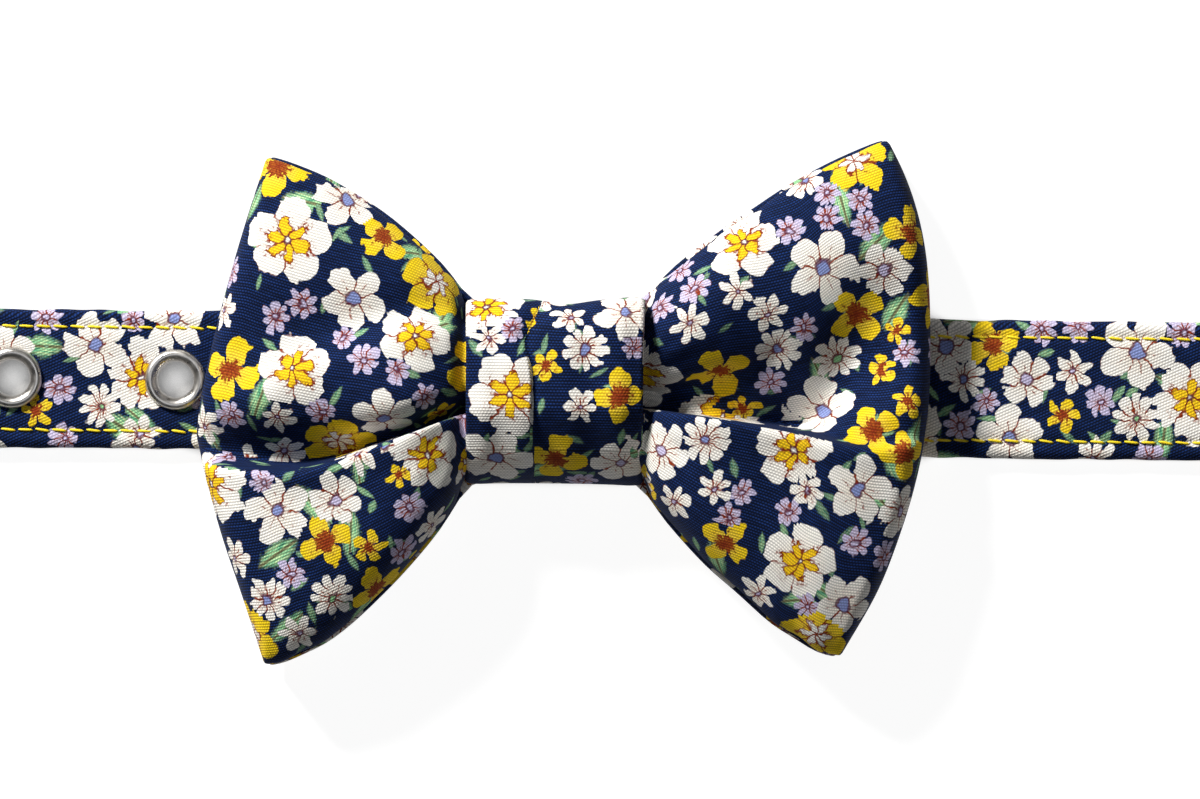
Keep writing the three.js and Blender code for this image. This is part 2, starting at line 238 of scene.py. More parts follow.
# The blooms that show on the front: kind, and place along and across the strap in mm.
BOW_CHART = [
    ("anemone", -30.5, 26.5),
    ("rose", -39, 20.3),
    ("buttercup", -25, 20.7),
    ("anemone", -29, 12),
    ("primrose", -17, 14.5),
    ("rose", -37.5, 1.8),
    ("buttercup", -47, 1.7),
    ("rose", -20, 7),
    ("lilac", -36.8, 11),
    ("lilac", -40.3, 9),
    ("star", -48, 10),
    ("lilac", -22.8, 1.6),
    ("lilac", -18.5, -2),
    ("lilac", -30.5, 6),
    ("anemone", -24.5, -5.2),
    ("star", -40, -5.3),
    ("lilac", -33.5, -4.5),
    ("lilac", -46.6, -5),
    ("buttercup", -40.5, 31),
    ("star", -39, -10.2),
    ("primrose", -31.5, -8.6),
    ("star", -50.5, -7),
    ("rose", -49.8, -14.7),
    ("lilac", -42, -14.6),
    ("anemone", -39.8, -19),
    ("cosmos", -31.4, -17),
    ("rose", -18.3, -10.2),
    ("sprig", -22, -13.6),
    ("buttercup", -32.8, -23.2),
    ("sprig", -26.5, -24),
    ("star", -46, -26),
    ("star", -36.8, -36.5),
    ("lilac", -37.8, -27.8),
    ("lilac", -21.8, -24.7),
    ("star", -17.5, -20.5),
    ("daisy", -41.2, -31.7),
    ("green_daisy", -31.5, -31),
    ("buttercup", -25.5, -30),
    ("primrose", -44, -37),
    ("primrose", 43, 32.8),
    ("daisy", 35.7, 30.2),
    ("lilac", 39.3, 28.2),
    ("lilac", 44.2, 27.3),
    ("lilac", 39.2, 24.6),
    ("lilac", 44.6, 23.4),
    ("lilac", 34, 22.7),
    ("rose", 26.8, 20.8),
    ("anemone", 39, 17.5),
    ("cosmos", 47.6, 17.2),
    ("buttercup", 51.2, 22.4),
    ("buttercup", 43.6, 10.6),
    ("lilac", 18, 16.6),
    ("lilac", 20, 14),
    ("lilac", 15.2, 11),
    ("star", 19.6, 9.2),
    ("star", 26.4, 14),
    ("star", 31, 10.7),
    ("green_daisy", 40.7, 4.2),
    ("daisy", 32.5, 5.4),
    ("lilac", 36, 8.3),
    ("buttercup", 23.6, 2.0),
    ("sprig", 27.4, -3.2),
    ("sprig", 49.2, 8.2),
    ("lilac", 50.8, 4.8),
    ("sprig", 47.6, 2.4),
    ("sprig", 51.3, -2),
    ("lilac", 31.5, 0.6),
    ("anemone", 39, -3.6),
    ("buttercup", 46, -6.2),
    ("daisy", 22, -8),
    ("rose", 34.6, -9.2),
    ("cosmos", 15.6, -9.6),
    ("buttercup", 50.8, -9.2),
    ("star", 23.4, -14.6),
    ("lilac", 27.4, -15.4),
    ("star", 17.3, -17),
    ("lilac", 34.2, -18.2),
    ("star", 36.8, -15.2),
    ("lilac", 44, -22.4),
    ("anemone", 44.4, -14.7),
    ("cosmos", 50.5, -18),
    ("buttercup", 24.8, -22.6),
    ("lilac", 25.3, -18.9),
    ("rose", 35.9, -25.2),
    ("star", 29.8, -30),
    ("lilac", 36.8, -31.6),
    ("primrose", 38.6, -36),
    ("anemone", 42.5, -31.5),
]

KNOT_CHART = [
    ("rose", -10, 11),
    ("rose", -6.2, -1.8),
    ("anemone", -8.3, -10.9),
    ("star", -9.6, 6.4),
    ("lilac", -6.2, 8.2),
    ("daisy", 4.4, 5.2),
    ("star", 3.8, -3.4),
    ("buttercup", 9.3, -2.0),
    ("buttercup", 0.2, -11),
    ("cosmos", 9.8, -11.2),
    ("anemone", 10.4, 10.6),
    ("star", 2, 9.6),
    ("lilac", 11.2, 5.4),
]

STRAP_CHART = [
    ("anemone", -67.3, 5),
    ("green_daisy", -66.9, -3.9),
    ("lilac", -72.5, -1.7),
    ("sprig", -76, -4.7),
    ("rose", -60.8, 0.6),
    ("lilac", -75, 8.8),
    ("lilac", -61.8, 8.7),
    ("anemone", -56.3, 8.8),
    ("cosmos", -81, 3),
    ("anemone", 57.3, 6.2),
    ("daisy", 59.8, 1.6),
    ("buttercup", 63.7, 6.4),
    ("cosmos", 69.4, 1.4),
    ("lilac", 63.2, -2),
    ("anemone", 66.9, -7),
    ("star", 76.1, 2.7),
    ("lilac", 79.7, -1.5),
    ("sprig", 74.7, -3.7),
    ("anemone", 85, 5.6),
    ("green_daisy", 85.6, -4),
    ("rose", 93, -1.3),
    ("lilac", 76.7, 9.4),
    ("lilac", 91.9, 9),
]

# Kinds that fill the rest of the cloth, the largest first, with how many places are tried for each.
FILLERS = [
    ("rose", 260),
    ("primrose", 120),
    ("anemone", 320),
    ("buttercup", 300),
    ("cosmos", 420),
    ("daisy", 600),
    ("green_daisy", 400),
    ("star", 1600),
    ("sprig", 700),
    ("lilac", 3600),
]
FULL_CLOTH, LEAST_TRIES = 75000, 0.2  # faces of a cloth that gets all the tries, and the least share
BLOOM_ROOM = 0.98  # how close two blooms may come, as a share of their two radii
CROWDING, LEAST_SIZE = 1.15, 0.84  # how far charted blooms may overlap, and the smallest they are drawn
BLOOM_REACH, LEAF_REACH = 1.25, 1.15  # how far a motif's faces reach past its radius
SAME_SIDE = 0.15  # how far a face may be turned from its motif's middle, as a cosine
MOST_STRETCH = 1.6  # of the flat drawing where it goes round a bend
LEAF_BESIDE = 3.9  # radius in mm of the smallest bloom with a leaf beside it
BARE_BLOOMS = 0.25  # share of them that have none
LEAF_LONG, LEAF_WIDE = 4.4, 1.8  # half length and half width of a leaf in mm
STROKE_LONG, STROKE_WIDE = 1.8, 0.6  # and of a short brush stroke
STROKE_SHARE = 0.006  # strokes for each face of the cloth
FAR_OFF = 9.0  # a place outside every bloom
BOW_SEED, KNOT_SEED, STRAP_SEED = 11, 23, 37  # of the fillers and leaves on each cloth


def face_frames(points, faces):
    """Middles, normals and corners of quads."""
    corners = points[faces]
    middles = corners.mean(axis=1)
    normals = unit(np.cross(corners[:, 2] - corners[:, 0], corners[:, 3] - corners[:, 1]))
    return middles, normals, corners


def front_face(middles, normals, x, y):
    """The face that shows from the front at a place."""
    off = np.hypot(middles[:, 0] - x, middles[:, 1] - y)
    hidden = normals[:, 2] < 0.1
    return int(np.argmin(off * 10 - middles[:, 2] + hidden * 1e4))


def settled_sizes(centres, sizes):
    """Sizes of the charted blooms, each drawn a little smaller where its neighbour is close."""
    gaps = np.linalg.norm(centres[:, None] - centres[None], axis=2) + 1e3 * np.eye(len(sizes))
    room = gaps / (sizes[:, None] + sizes[None])
    return list(sizes * np.clip(CROWDING * room.min(axis=1), LEAST_SIZE, 1))


def bloom_places(middles, normals, chart, random):
    """Faces and kinds of all the blooms on a cloth: the charted ones, then fillers where there is room."""
    faces = [front_face(middles, normals, x, y) for _, x, y in chart]
    kinds = [kind for kind, _, _ in chart]
    sizes = settled_sizes(middles[faces], np.array([BLOOMS[kind][0] for kind in kinds]))
    share = max(LEAST_TRIES, len(middles) / FULL_CLOTH)
    for kind, tries in FILLERS:
        radius = BLOOMS[kind][0]
        for face in random.integers(0, len(middles), int(tries * share)):
            gaps = np.linalg.norm(middles[faces] - middles[face], axis=1)
            room = gaps > BLOOM_ROOM * (np.array(sizes) + radius)
            other_side = normals[faces] @ normals[face] < -0.2
            if np.all(room | other_side):
                faces.append(int(face))
                kinds.append(kind)
                sizes.append(radius)
    return faces, kinds, sizes


def nearest_motif(middles, normals, centres, sizes, reach):
    """For each face, which motif it belongs to, or -1."""
    best = np.full(len(middles), reach)
    owner = np.full(len(middles), -1)
    for number, (face, size) in enumerate(zip(centres, sizes)):
        away = np.linalg.norm(middles - middles[face], axis=1) / size
        mine = (away < best) & (normals @ normals[face] > SAME_SIDE)
        best[mine] = away[mine]
        owner[mine] = number
    return owner


def flat_places(corners, middles, normals, centres, owner, turns):
    """Where each corner of each face lies in its motif's own flat frame, in mm."""
    has = owner >= 0
    centre = np.array(centres)[np.maximum(owner, 0)]
    normal = normals[centre]
    angle = np.array(turns)[np.maximum(owner, 0)]
    aim = np.stack([np.cos(angle), np.sin(angle), np.zeros_like(angle)], axis=1)
    aim = unit(aim - normal * np.sum(aim * normal, axis=1, keepdims=True) + 1e-6)
    side = np.cross(normal, aim)
    away = corners - middles[centre][:, None, :]
    flat = np.stack([np.sum(away * aim[:, None], axis=2), np.sum(away * side[:, None], axis=2)], axis=2)
    stretch = np.linalg.norm(away, axis=2) / np.maximum(np.linalg.norm(flat, axis=2), 1e-6)
    flat *= np.minimum(stretch, MOST_STRETCH)[:, :, None]
    return np.where(has[:, None, None], flat, FAR_OFF * 10), has


def corner_attribute(mesh, name, kind, values):
    """Stores a colour or a vector for each corner of each face."""
    attribute = mesh.attributes.new(name, kind, "CORNER")
    field = "color" if kind == "FLOAT_COLOR" else "vector"
    attribute.data.foreach_set(field, np.ascontiguousarray(values, np.float32).ravel())


def print_flowers(piece, points, faces, chart, seed):
    """Lays the flower print on a cloth: which bloom each face belongs to and where it lies in it."""
    random = np.random.default_rng(seed)
    middles, normals, corners = face_frames(points, faces)
    centres, kinds, sizes = bloom_places(middles, normals, chart, random)
    turns = random.uniform(0, 2 * np.pi, len(centres))
    owner = nearest_motif(middles, normals, centres, sizes, BLOOM_REACH)
    flat, has = flat_places(corners, middles, normals, centres, owner, turns)
    radius = np.array(sizes)[np.maximum(owner, 0)]
    place = np.concatenate([flat / radius[:, None, None], np.ones((len(faces), 4, 1))], axis=2)
    place[:, :, 2] = radius[:, None]
    place[~has] = (FAR_OFF, FAR_OFF, 1)
    corner_attribute(piece.data, "bloom_place", "FLOAT_VECTOR", place)
    rows = [BLOOMS[kind] for kind in kinds]

    def spread(values):
        picked = np.array(values, float)[np.maximum(owner, 0)]
        return np.repeat(picked[:, None, :], 4, axis=1)

    corner_attribute(piece.data, "bloom_petals", "FLOAT_VECTOR", spread([row[1:4] for row in rows]))
    corner_attribute(piece.data, "bloom_heart", "FLOAT_VECTOR", spread([row[4:7] for row in rows]))
    for column, name in ((7, "petal_colour"), (8, "heart_colour"), (9, "star_colour")):
        corner_attribute(piece.data, name, "FLOAT_COLOR", spread([linear(row[column]) for row in rows]))
    print_leaves(piece, (middles, normals, corners), (centres, sizes), random)


def leaf_motifs(middles, normals, blooms, random):
    """Faces, turns and shapes of the leaves beside the larger blooms and of the scattered strokes. A
    shape is half length, half width and paleness."""
    motifs = []
    for face, size in zip(*blooms):
        if size < LEAF_BESIDE or random.random() < BARE_BLOOMS:
            continue
        angle = random.uniform(0, 2 * np.pi)
        goal = middles[face] + (size + 1.2) * np.array([np.cos(angle), np.sin(angle), 0])
        near = np.linalg.norm(middles - goal, axis=1) + (normals @ normals[face] < 0.3) * 1e3
        turn = angle + random.uniform(-0.9, 0.9)
        shape = (LEAF_LONG * random.uniform(0.75, 1.15), LEAF_WIDE * random.uniform(0.8, 1.2), 1)
        motifs.append((int(np.argmin(near)), turn, shape))
    for face in random.integers(0, len(middles), int(STROKE_SHARE * len(middles))):
        turn = random.uniform(0, 2 * np.pi)
        pale = random.uniform(0.1, 0.6)
        shape = (STROKE_LONG * random.uniform(0.7, 1.3), STROKE_WIDE * random.uniform(0.7, 1.4), pale)
        motifs.append((int(face), turn, shape))
    return zip(*motifs)


def print_leaves(piece, cloth, blooms, random):
    """Lays the leaves and brush strokes on a cloth's ground."""
    middles, normals, corners = cloth
    centres, turns, shapes = leaf_motifs(middles, normals, blooms, random)
    sizes = [shape[0] for shape in shapes]
    owner = nearest_motif(middles, normals, centres, sizes, LEAF_REACH)
    flat, has = flat_places(corners, middles, normals, centres, owner, turns)
    shape = np.array(shapes)[np.maximum(owner, 0)]
    place = np.empty((len(middles), 4, 3))
    place[:, :, 0] = flat[:, :, 0] / shape[:, 0, None]
    place[:, :, 1] = flat[:, :, 1] / shape[:, 1, None]
    place[:, :, 2] = shape[:, 2, None]
    place[~has] = (FAR_OFF, FAR_OFF, 0)
    corner_attribute(piece.data, "leaf_place", "FLOAT_VECTOR", place)


def lay_threads(piece, threads):
    """Keeps where each corner lies along and across the threads, in mm, as the cloth's UV map."""
    layer = piece.data.uv_layers.new(name="threads")
    layer.data.foreach_set("uv", np.ascontiguousarray(threads, np.float32).ravel())


# ---------------------------------------------------------------- materials


def node_adder(tree):
    """One small function that adds a node with its settings and links."""

    def node(kind, *inputs, **settings):
        made = tree.nodes.new("ShaderNode" + kind)
        for key, value in settings.items():
            setattr(made, key, value)
        for socket, value in zip(made.inputs, inputs):
            if isinstance(value, bpy.types.Node):
                value = value.outputs[0]
            if isinstance(value, bpy.types.NodeSocket):
                tree.links.new(value, socket)
            elif value is not None:
                socket.default_value = value
        return made

    return node


def new_material(name):
    """A material with an empty node tree, its Principled shader and the function that adds nodes."""
    material = bpy.data.materials.new(name)
    material.use_nodes = True
    tree = material.node_tree
    tree.nodes.clear()
    node = node_adder(tree)
    shader = node("BsdfPrincipled")
    node("OutputMaterial", shader)
    return material, shader, node


WEFT_PITCH = 0.42  # mm between rows of weft: 0.38 in the real cloth, drawn a little coarser to show
WARP_PITCH = 0.24  # mm between warp threads, which are finer and packed closer
SLUB = (0.35, 2.2, 1.0)  # slubs for each mm: long along the thread, as wide as one or two threads
INK_WANDER = 420.0  # wanders of the printing for each metre: one every 2.4 mm
INK_RAGGED = 1900.0  # ragged bits of its edges for each metre: one every 0.5 mm
PRINT_DRIFT = 2.2  # mm that the drawing of a bloom would wander where its unevenness is strongest
FULL_TURN = 2 * math.pi
# Half widths in mm of the lines drawn in ink: where each starts to fade, and where it ends.
PETAL_GAP, PETAL_VEIN = (0.07, 0.17), (0.04, 0.12)
STAR_OUTLINE, STAR_GAP, HEART_RING = (0.08, 0.2), (0.07, 0.18), (0.1, 0.24)
LEAF_GREENS = ((0.3, "#1f6a5f"), (0.38, "#5aa57c"), (0.47, "#97d09c"), (0.6, "#cfe8ac"))
LEAF_RIB, PETAL_BLUSH = "#5a3a24", "#f0c890"
IS_LEAF = 0.8  # paler than this is a brush stroke, not a leaf


def plain_weave(node):
    """Height of the weave, each weft thread over one warp and under the next, and its slubs."""
    place = node("UVMap", uv_map="threads")
    threads = node("SeparateXYZ", place)
    row = node("Math", threads.outputs[1], WEFT_PITCH, operation="DIVIDE")
    turn = node("Math", threads.outputs[0], math.pi / WARP_PITCH, operation="MULTIPLY")
    flip = node("Math", node("Math", row, operation="ROUND"), math.pi, operation="MULTIPLY")
    over = node("Math", node("Math", turn, flip, operation="ADD"), operation="COSINE")
    weft = node("Math", node("Math", row, FULL_TURN, operation="MULTIPLY"), operation="COSINE")
    over_part = node("MapRange", over, -1.0, 0.8, 0.3, 1.0)
    weft_part = node("MapRange", weft, -1.0, 1.0, 0.0, 1.0)
    weave = node("Math", over_part, weft_part, operation="MULTIPLY")
    slub = node("TexNoise", node("VectorMath", place, SLUB, operation="MULTIPLY"), None, 1.0, 2.0)
    return weave, slub


def share_of_part(node, angle, parts):
    """How far round one of several equal parts: 0 on its middle line, 1 on the line to the next."""
    turned = node("Math", angle, parts, operation="MULTIPLY")
    turns = node("Math", turned, FULL_TURN, operation="DIVIDE")
    part = node("Math", node("Math", turns, 0.5, operation="ADD"), operation="FRACT")
    return node("Math", node("Math", part, 2.0, -1.0, operation="MULTIPLY_ADD"), operation="ABSOLUTE")


def drawn_bloom(node, wobble, fine):
    """Where a point lies in its bloom, drawn with a wandering hand: distance from the heart as a share
    of the bloom, arc to half way round in mm, angle, and the bloom's radius in mm."""
    place = node("Attribute", attribute_name="bloom_place").outputs["Vector"]
    size = node("SeparateXYZ", place).outputs[2]
    drift = node("VectorMath", wobble.outputs["Color"], (0.5, 0.5, 0.5), operation="SUBTRACT")
    drift_share = node("Math", PRINT_DRIFT, size, operation="DIVIDE")
    drifted = node("VectorMath", drift, None, None, drift_share, operation="SCALE")
    drawn = node("SeparateXYZ", node("VectorMath", place, drifted, operation="ADD"))
    across, up = drawn.outputs[0], drawn.outputs[1]
    flat = node("CombineXYZ", across, up, 0.0)
    distance = node("VectorMath", flat, operation="LENGTH").outputs["Value"]
    sway = node("MapRange", wobble, 0.2, 0.8, 0.88, 1.12)
    out = node("Math", distance, sway, operation="MULTIPLY")
    bend = node("MapRange", fine, 0.0, 1.0, -0.03, 0.03)
    angle = node("Math", node("Math", up, across, operation="ARCTAN2"), bend, operation="ADD")
    half_round = node("Math", node("Math", out, size, operation="MULTIPLY"), math.pi, operation="MULTIPLY")
    return out, half_round, angle, size, sway


def petal_lines(node, bloom, petals, heart, wobble, fine):
    """Where the petals are, and their drawn lines: between them, along them and round some of them."""
    out, half_round, angle, size, _ = bloom
    count, gap_depth, roundness = petals.outputs
    share = share_of_part(node, angle, count)
    dip = node("Math", node("Math", share, roundness, operation="POWER"), gap_depth, operation="MULTIPLY")
    edge = node("Math", 1.0, dip, operation="SUBTRACT")
    inside = node("Math", node("Math", edge, out, operation="SUBTRACT"), size, operation="MULTIPLY")
    mask = node("MapRange", inside, 0.0, 0.14, 0.0, 1.0)

    share_left = node("Math", 1.0, share, operation="SUBTRACT")
    gap_arc = node("Math", half_round, share_left, operation="MULTIPLY")
    gap_line = node("MapRange", node("Math", gap_arc, count, operation="DIVIDE"), *PETAL_GAP, 1.0, 0.0)
    broken = node("MapRange", wobble, 0.36, 0.46, 0.15, 1.0)
    gap_part = node("Math", gap_line, broken, operation="MULTIPLY")

    vein_arc = node("Math", half_round, share, operation="MULTIPLY")
    vein_line = node("MapRange", node("Math", vein_arc, count, operation="DIVIDE"), *PETAL_VEIN, 0.9, 0.0)
    vein_reach = node("MapRange", out, 0.5, 0.62, 1.0, 0.0)
    has_disc = node("Math", heart.outputs[0], 0.1, operation="GREATER_THAN")
    drawn_here = node("MapRange", fine, 0.44, 0.5, 0.0, 1.0)
    vein_drawn = node("Math", drawn_here, has_disc, operation="MULTIPLY")
    vein_here = node("Math", vein_reach, vein_drawn, operation="MULTIPLY")
    vein_part = node("Math", vein_line, vein_here, operation="MULTIPLY")

    outline = node("MapRange", inside, 0.08, 0.2, 0.8, 0.0)
    outlined = node("MapRange", wobble, 0.52, 0.58, 0.0, 1.0)
    outline_part = node("Math", outline, outlined, operation="MULTIPLY")
    inner_lines = node("Math", gap_part, vein_part, operation="MAXIMUM")
    return mask, node("Math", inner_lines, outline_part, operation="MAXIMUM")


def star_lines(node, bloom, heart, fine):
    """Where the inner star is, and its ink: its outline, its arms' lines and ragged specks round it."""
    out, half_round, angle, size, _ = bloom
    _, reach, points = heart.outputs
    share = share_of_part(node, angle, points)
    arm = node("MapRange", share, 0.25, 1.0, 1.0, 0.42)
    edge = node("Math", arm, reach, operation="MULTIPLY")
    even = node("Math", node("Math", edge, out, operation="SUBTRACT"), size, operation="MULTIPLY")
    inside = node("Math", even, node("MapRange", fine, 0.3, 0.7, -0.3, 0.3), operation="ADD")
    mask = node("MapRange", inside, -0.02, 0.1, 0.0, 1.0)
    has_star = node("Math", reach, 0.05, operation="GREATER_THAN")

    far = node("Math", inside, operation="ABSOLUTE")
    outline = node("MapRange", far, *STAR_OUTLINE, 1.0, 0.0)
    share_left = node("Math", 1.0, share, operation="SUBTRACT")
    gap_arc = node("Math", half_round, share_left, operation="MULTIPLY")
    gap_line = node("MapRange", node("Math", gap_arc, points, operation="DIVIDE"), *STAR_GAP, 1.0, 0.0)
    gap_reach = node("MapRange", inside, -1.0, -0.6, 0.0, 1.0)
    arm_lines = node("Math", gap_line, gap_reach, operation="MULTIPLY")
    specks = node("MapRange", fine, 0.54, 0.62, 0.0, 1.0)
    speck_band = node("MapRange", far, 0.2, 1.2, 0.95, 0.0)
    speck_part = node("Math", specks, speck_band, operation="MULTIPLY")
    drawn = node("Math", outline, arm_lines, operation="MAXIMUM")
    ink = node("Math", node("Math", drawn, speck_part, operation="MAXIMUM"), has_star, operation="MULTIPLY")
    return node("Math", mask, has_star, operation="MULTIPLY"), ink


def heart_disc(node, bloom, heart):
    """Where the heart's disc is, and the ring drawn round it."""
    out, _, _, size, _ = bloom
    radius = heart.outputs[0]
    inside = node("Math", node("Math", radius, out, operation="SUBTRACT"), size, operation="MULTIPLY")
    mask = node("MapRange", inside, 0.0, 0.12, 0.0, 1.0)
    ring = node("MapRange", node("Math", inside, operation="ABSOLUTE"), *HEART_RING, 1.0, 0.0)
    has_heart = node("Math", radius, 0.02, operation="GREATER_THAN")
    ring_part = node("Math", ring, has_heart, operation="MULTIPLY")
    return mask, node("Math", ring_part, 0.85, operation="MULTIPLY")


def leafy_ground(node, ground, sway, fine):
    """The ground with its leaves and brush strokes: streaked greens with ragged edges, and a rib."""
    leaf = node("SeparateXYZ", node("Attribute", attribute_name="leaf_place").outputs["Vector"])
    along, across, pale = leaf.outputs
    room = node("Math", 1.0, node("Math", along, along, operation="MULTIPLY"), operation="SUBTRACT")
    aside = node("Math", node("Math", across, operation="ABSOLUTE"), sway, operation="MULTIPLY")
    inside = node("Math", room, aside, operation="SUBTRACT")
    ragged = node("Math", inside, node("MapRange", fine, 0.0, 1.0, -0.45, 0.35), operation="ADD")
    mask = node("MapRange", ragged, 0.0, 0.3, 0.0, 1.0)
    soft_edge = node("MapRange", inside, 0.1, 0.6, 0.3, 1.0)
    paleness = node("Math", node("MapRange", pale, 0.0, 1.0, 0.3, 1.0), soft_edge, operation="MULTIPLY")

    streak_place = node("CombineXYZ", along, node("Math", across, 4.0, operation="MULTIPLY"), 0.0)
    greens = node("ValToRGB", node("TexNoise", streak_place, None, 1.7, 3.0))
    ramp = greens.color_ramp
    for position, colour in LEAF_GREENS:
        ramp.elements.new(position).color = linear(colour)
    ramp.elements.remove(ramp.elements[0])
    ramp.elements[-1].color = linear(LEAF_GREENS[-1][1])
    with_leaf = node("MixRGB", node("Math", mask, paleness, operation="MULTIPLY"), ground, greens)

    is_leaf = node("Math", pale, IS_LEAF, operation="GREATER_THAN")
    rib = node("Math", node("MapRange", aside, 0.06, 0.16, 1.0, 0.0), is_leaf, operation="MULTIPLY")
    rib_part = node("Math", node("Math", rib, mask, operation="MULTIPLY"), 0.8, operation="MULTIPLY")
    return node("MixRGB", rib_part, with_leaf, linear(LEAF_RIB))


def printed_cotton():
    """Plain-weave cotton, roller printed on a navy ground: dull, with a fine thread-by-thread speckle."""
    material, shader, node = new_material("printed plain-weave cotton")
    link = material.node_tree.links.new
    weave, slub = plain_weave(node)
    here = node("TexCoord").outputs["Object"]
    wobble = node("TexNoise", here, None, INK_WANDER, 2.0)
    fine = node("TexNoise", here, None, INK_RAGGED, 2.0)
    bloom = drawn_bloom(node, wobble, fine)
    petals = node("SeparateXYZ", node("Attribute", attribute_name="bloom_petals").outputs["Vector"])
    heart = node("SeparateXYZ", node("Attribute", attribute_name="bloom_heart").outputs["Vector"])
    petal_mask, petal_ink = petal_lines(node, bloom, petals, heart, wobble, fine)
    star_mask, star_ink = star_lines(node, bloom, heart, fine)
    heart_mask, heart_ring = heart_disc(node, bloom, heart)

    # The inks, laid one over another from the ground up.
    # The navy ground is painted light on the threads' tops and painted shade between them, varied by the
    # slubs.
    lit_part = node("MapRange", slub, 0.35, 0.65, 0.5, 1.2)
    lit_thread = node("Math", weave, lit_part, operation="MULTIPLY")
    ground = node("MixRGB", lit_thread, linear(NAVY), linear(NAVY_LIT))
    leafy = leafy_ground(node, ground, bloom[4], fine)
    petal_colour = node("Attribute", attribute_name="petal_colour").outputs["Color"]
    blush_part = node("MapRange", bloom[0], 0.1, 0.8, 0.2, 0.0)
    printed = node("MixRGB", blush_part, petal_colour, linear(PETAL_BLUSH))
    printed = node("MixRGB", petal_ink, printed, linear(RUST))
    star_colour = node("Attribute", attribute_name="star_colour").outputs["Color"]
    printed = node("MixRGB", star_mask, printed, star_colour)
    printed = node("MixRGB", star_ink, printed, linear(RUST))
    heart_colour = node("Attribute", attribute_name="heart_colour").outputs["Color"]
    printed = node("MixRGB", heart_mask, printed, heart_colour)
    printed = node("MixRGB", heart_ring, printed, linear(MAROON))
    printed = node("MixRGB", petal_mask, leafy, printed)

    # Thread shadows on the pale inks, and slubs that vary the whole cloth.
    shade = node("MapRange", weave, 0.0, 0.6, 0.56, 1.1)
    slub_shade = node("MapRange", slub, 0.3, 0.7, 0.93, 1.05)
    both = node("Math", shade, slub_shade, operation="MULTIPLY")
    woven = node("MixRGB", 1.0, printed, node("CombineXYZ", both, both, both), blend_type="MULTIPLY")
    link(woven.outputs[0], shader.inputs["Base Color"])
    shader.inputs["Roughness"].default_value = 0.86
    shader.inputs["Specular IOR Level"].default_value = 0.12
    shader.inputs["Sheen Weight"].default_value = 0.01
    shader.inputs["Sheen Roughness"].default_value = 0.5
    link(node("Bump", 0.7, 0.00008, None, weave).outputs[0], shader.inputs["Normal"])
    return material


PLIES = 2600.0  # bands of the twisted plies for each metre
PLATE_HAZE = 700.0  # patches of haze for each metre: one every 1.4 mm
PLATE_SCRATCHES = (600.0, 6000.0, 2500.0)  # handling scratches for each metre, long and fine


def sewing_thread():
    """Yellow spun polyester thread: two plies twisted together, with a soft shine."""
    material, shader, node = new_material("yellow polyester sewing thread")
    link = material.node_tree.links.new
    place = node("TexCoord").outputs["Object"]
    plies = node("TexWave", place, PLIES, 1.5, 1.0, wave_type="BANDS", bands_direction="DIAGONAL")
    # The deeper and the brighter yellow are painted shade in the grooves between the plies and painted
    # light on their crests.
    colour = node("MixRGB", plies, linear("#d9ac08"), linear("#fff01c"))
    link(colour.outputs[0], shader.inputs["Base Color"])
    shader.inputs["Roughness"].default_value = 0.45
    shader.inputs["Sheen Weight"].default_value = 0.1
    link(node("Bump", 0.5, 0.00004, None, plies).outputs[0], shader.inputs["Normal"])
    return material


def nickel_plate(name, roughness):
    """Nickel-plated brass, pressed and tumbled: warm grey, bright, with faint handling scratches."""
    material, shader, node = new_material(name)
    link = material.node_tree.links.new
    place = node("TexCoord").outputs["Object"]
    haze = node("TexNoise", place, None, PLATE_HAZE, 4.0)
    scratch_place = node("VectorMath", place, PLATE_SCRATCHES, operation="MULTIPLY")
    scratches = node("TexNoise", scratch_place, None, 1.0, 2.0)
    colour = node("MixRGB", haze, linear("#aeaaa5"), linear("#e2dfdb"))
    link(colour.outputs[0], shader.inputs["Base Color"])
    rough = node("MapRange", haze, 0.3, 0.7, roughness * 0.75, roughness * 1.4)
    link(rough.outputs[0], shader.inputs["Roughness"])
    shader.inputs["Metallic"].default_value = 1.0
    link(node("Bump", 0.08, 0.00003, None, scratches).outputs[0], shader.inputs["Normal"])
    return material


COTTON = printed_cotton()
THREAD = sewing_thread()
NICKEL = nickel_plate("nickel-plated eyelet", 0.3)
BUCKLE_NICKEL = nickel_plate("nickel-plated buckle", 0.26)

# ---------------------------------------------------------------- the strap's line

STRAP_THICK = 2.4
STRAP_HALF = STRAP_HIGH[1]
LIFT = 2.1  # height of the strap's back where the knot goes under it
SETTLED = 36.0  # distance from the knot's middle where it lies flat again
TURNED_END = 188.0  # where the end turned round the bar stops, under the strap
RISE = 16.0  # length of the slope up onto the turned end
PARTED = 212.0  # where the two layers part to go round the bar
BAR_X, BAR_Z = 223.0, 4.3
LOOP_RADIUS = 3.1  # of the middle of the cloth round the bar


def strap_back(x):
    """Height of the strap's back, along the strap."""
    in_knot = 1 - smooth(KNOT_HALF + 1, SETTLED, np.abs(x))
    return LIFT * in_knot + STRAP_THICK * smooth(TURNED_END - RISE, TURNED_END, x)


# ---------------------------------------------------------------- the bow

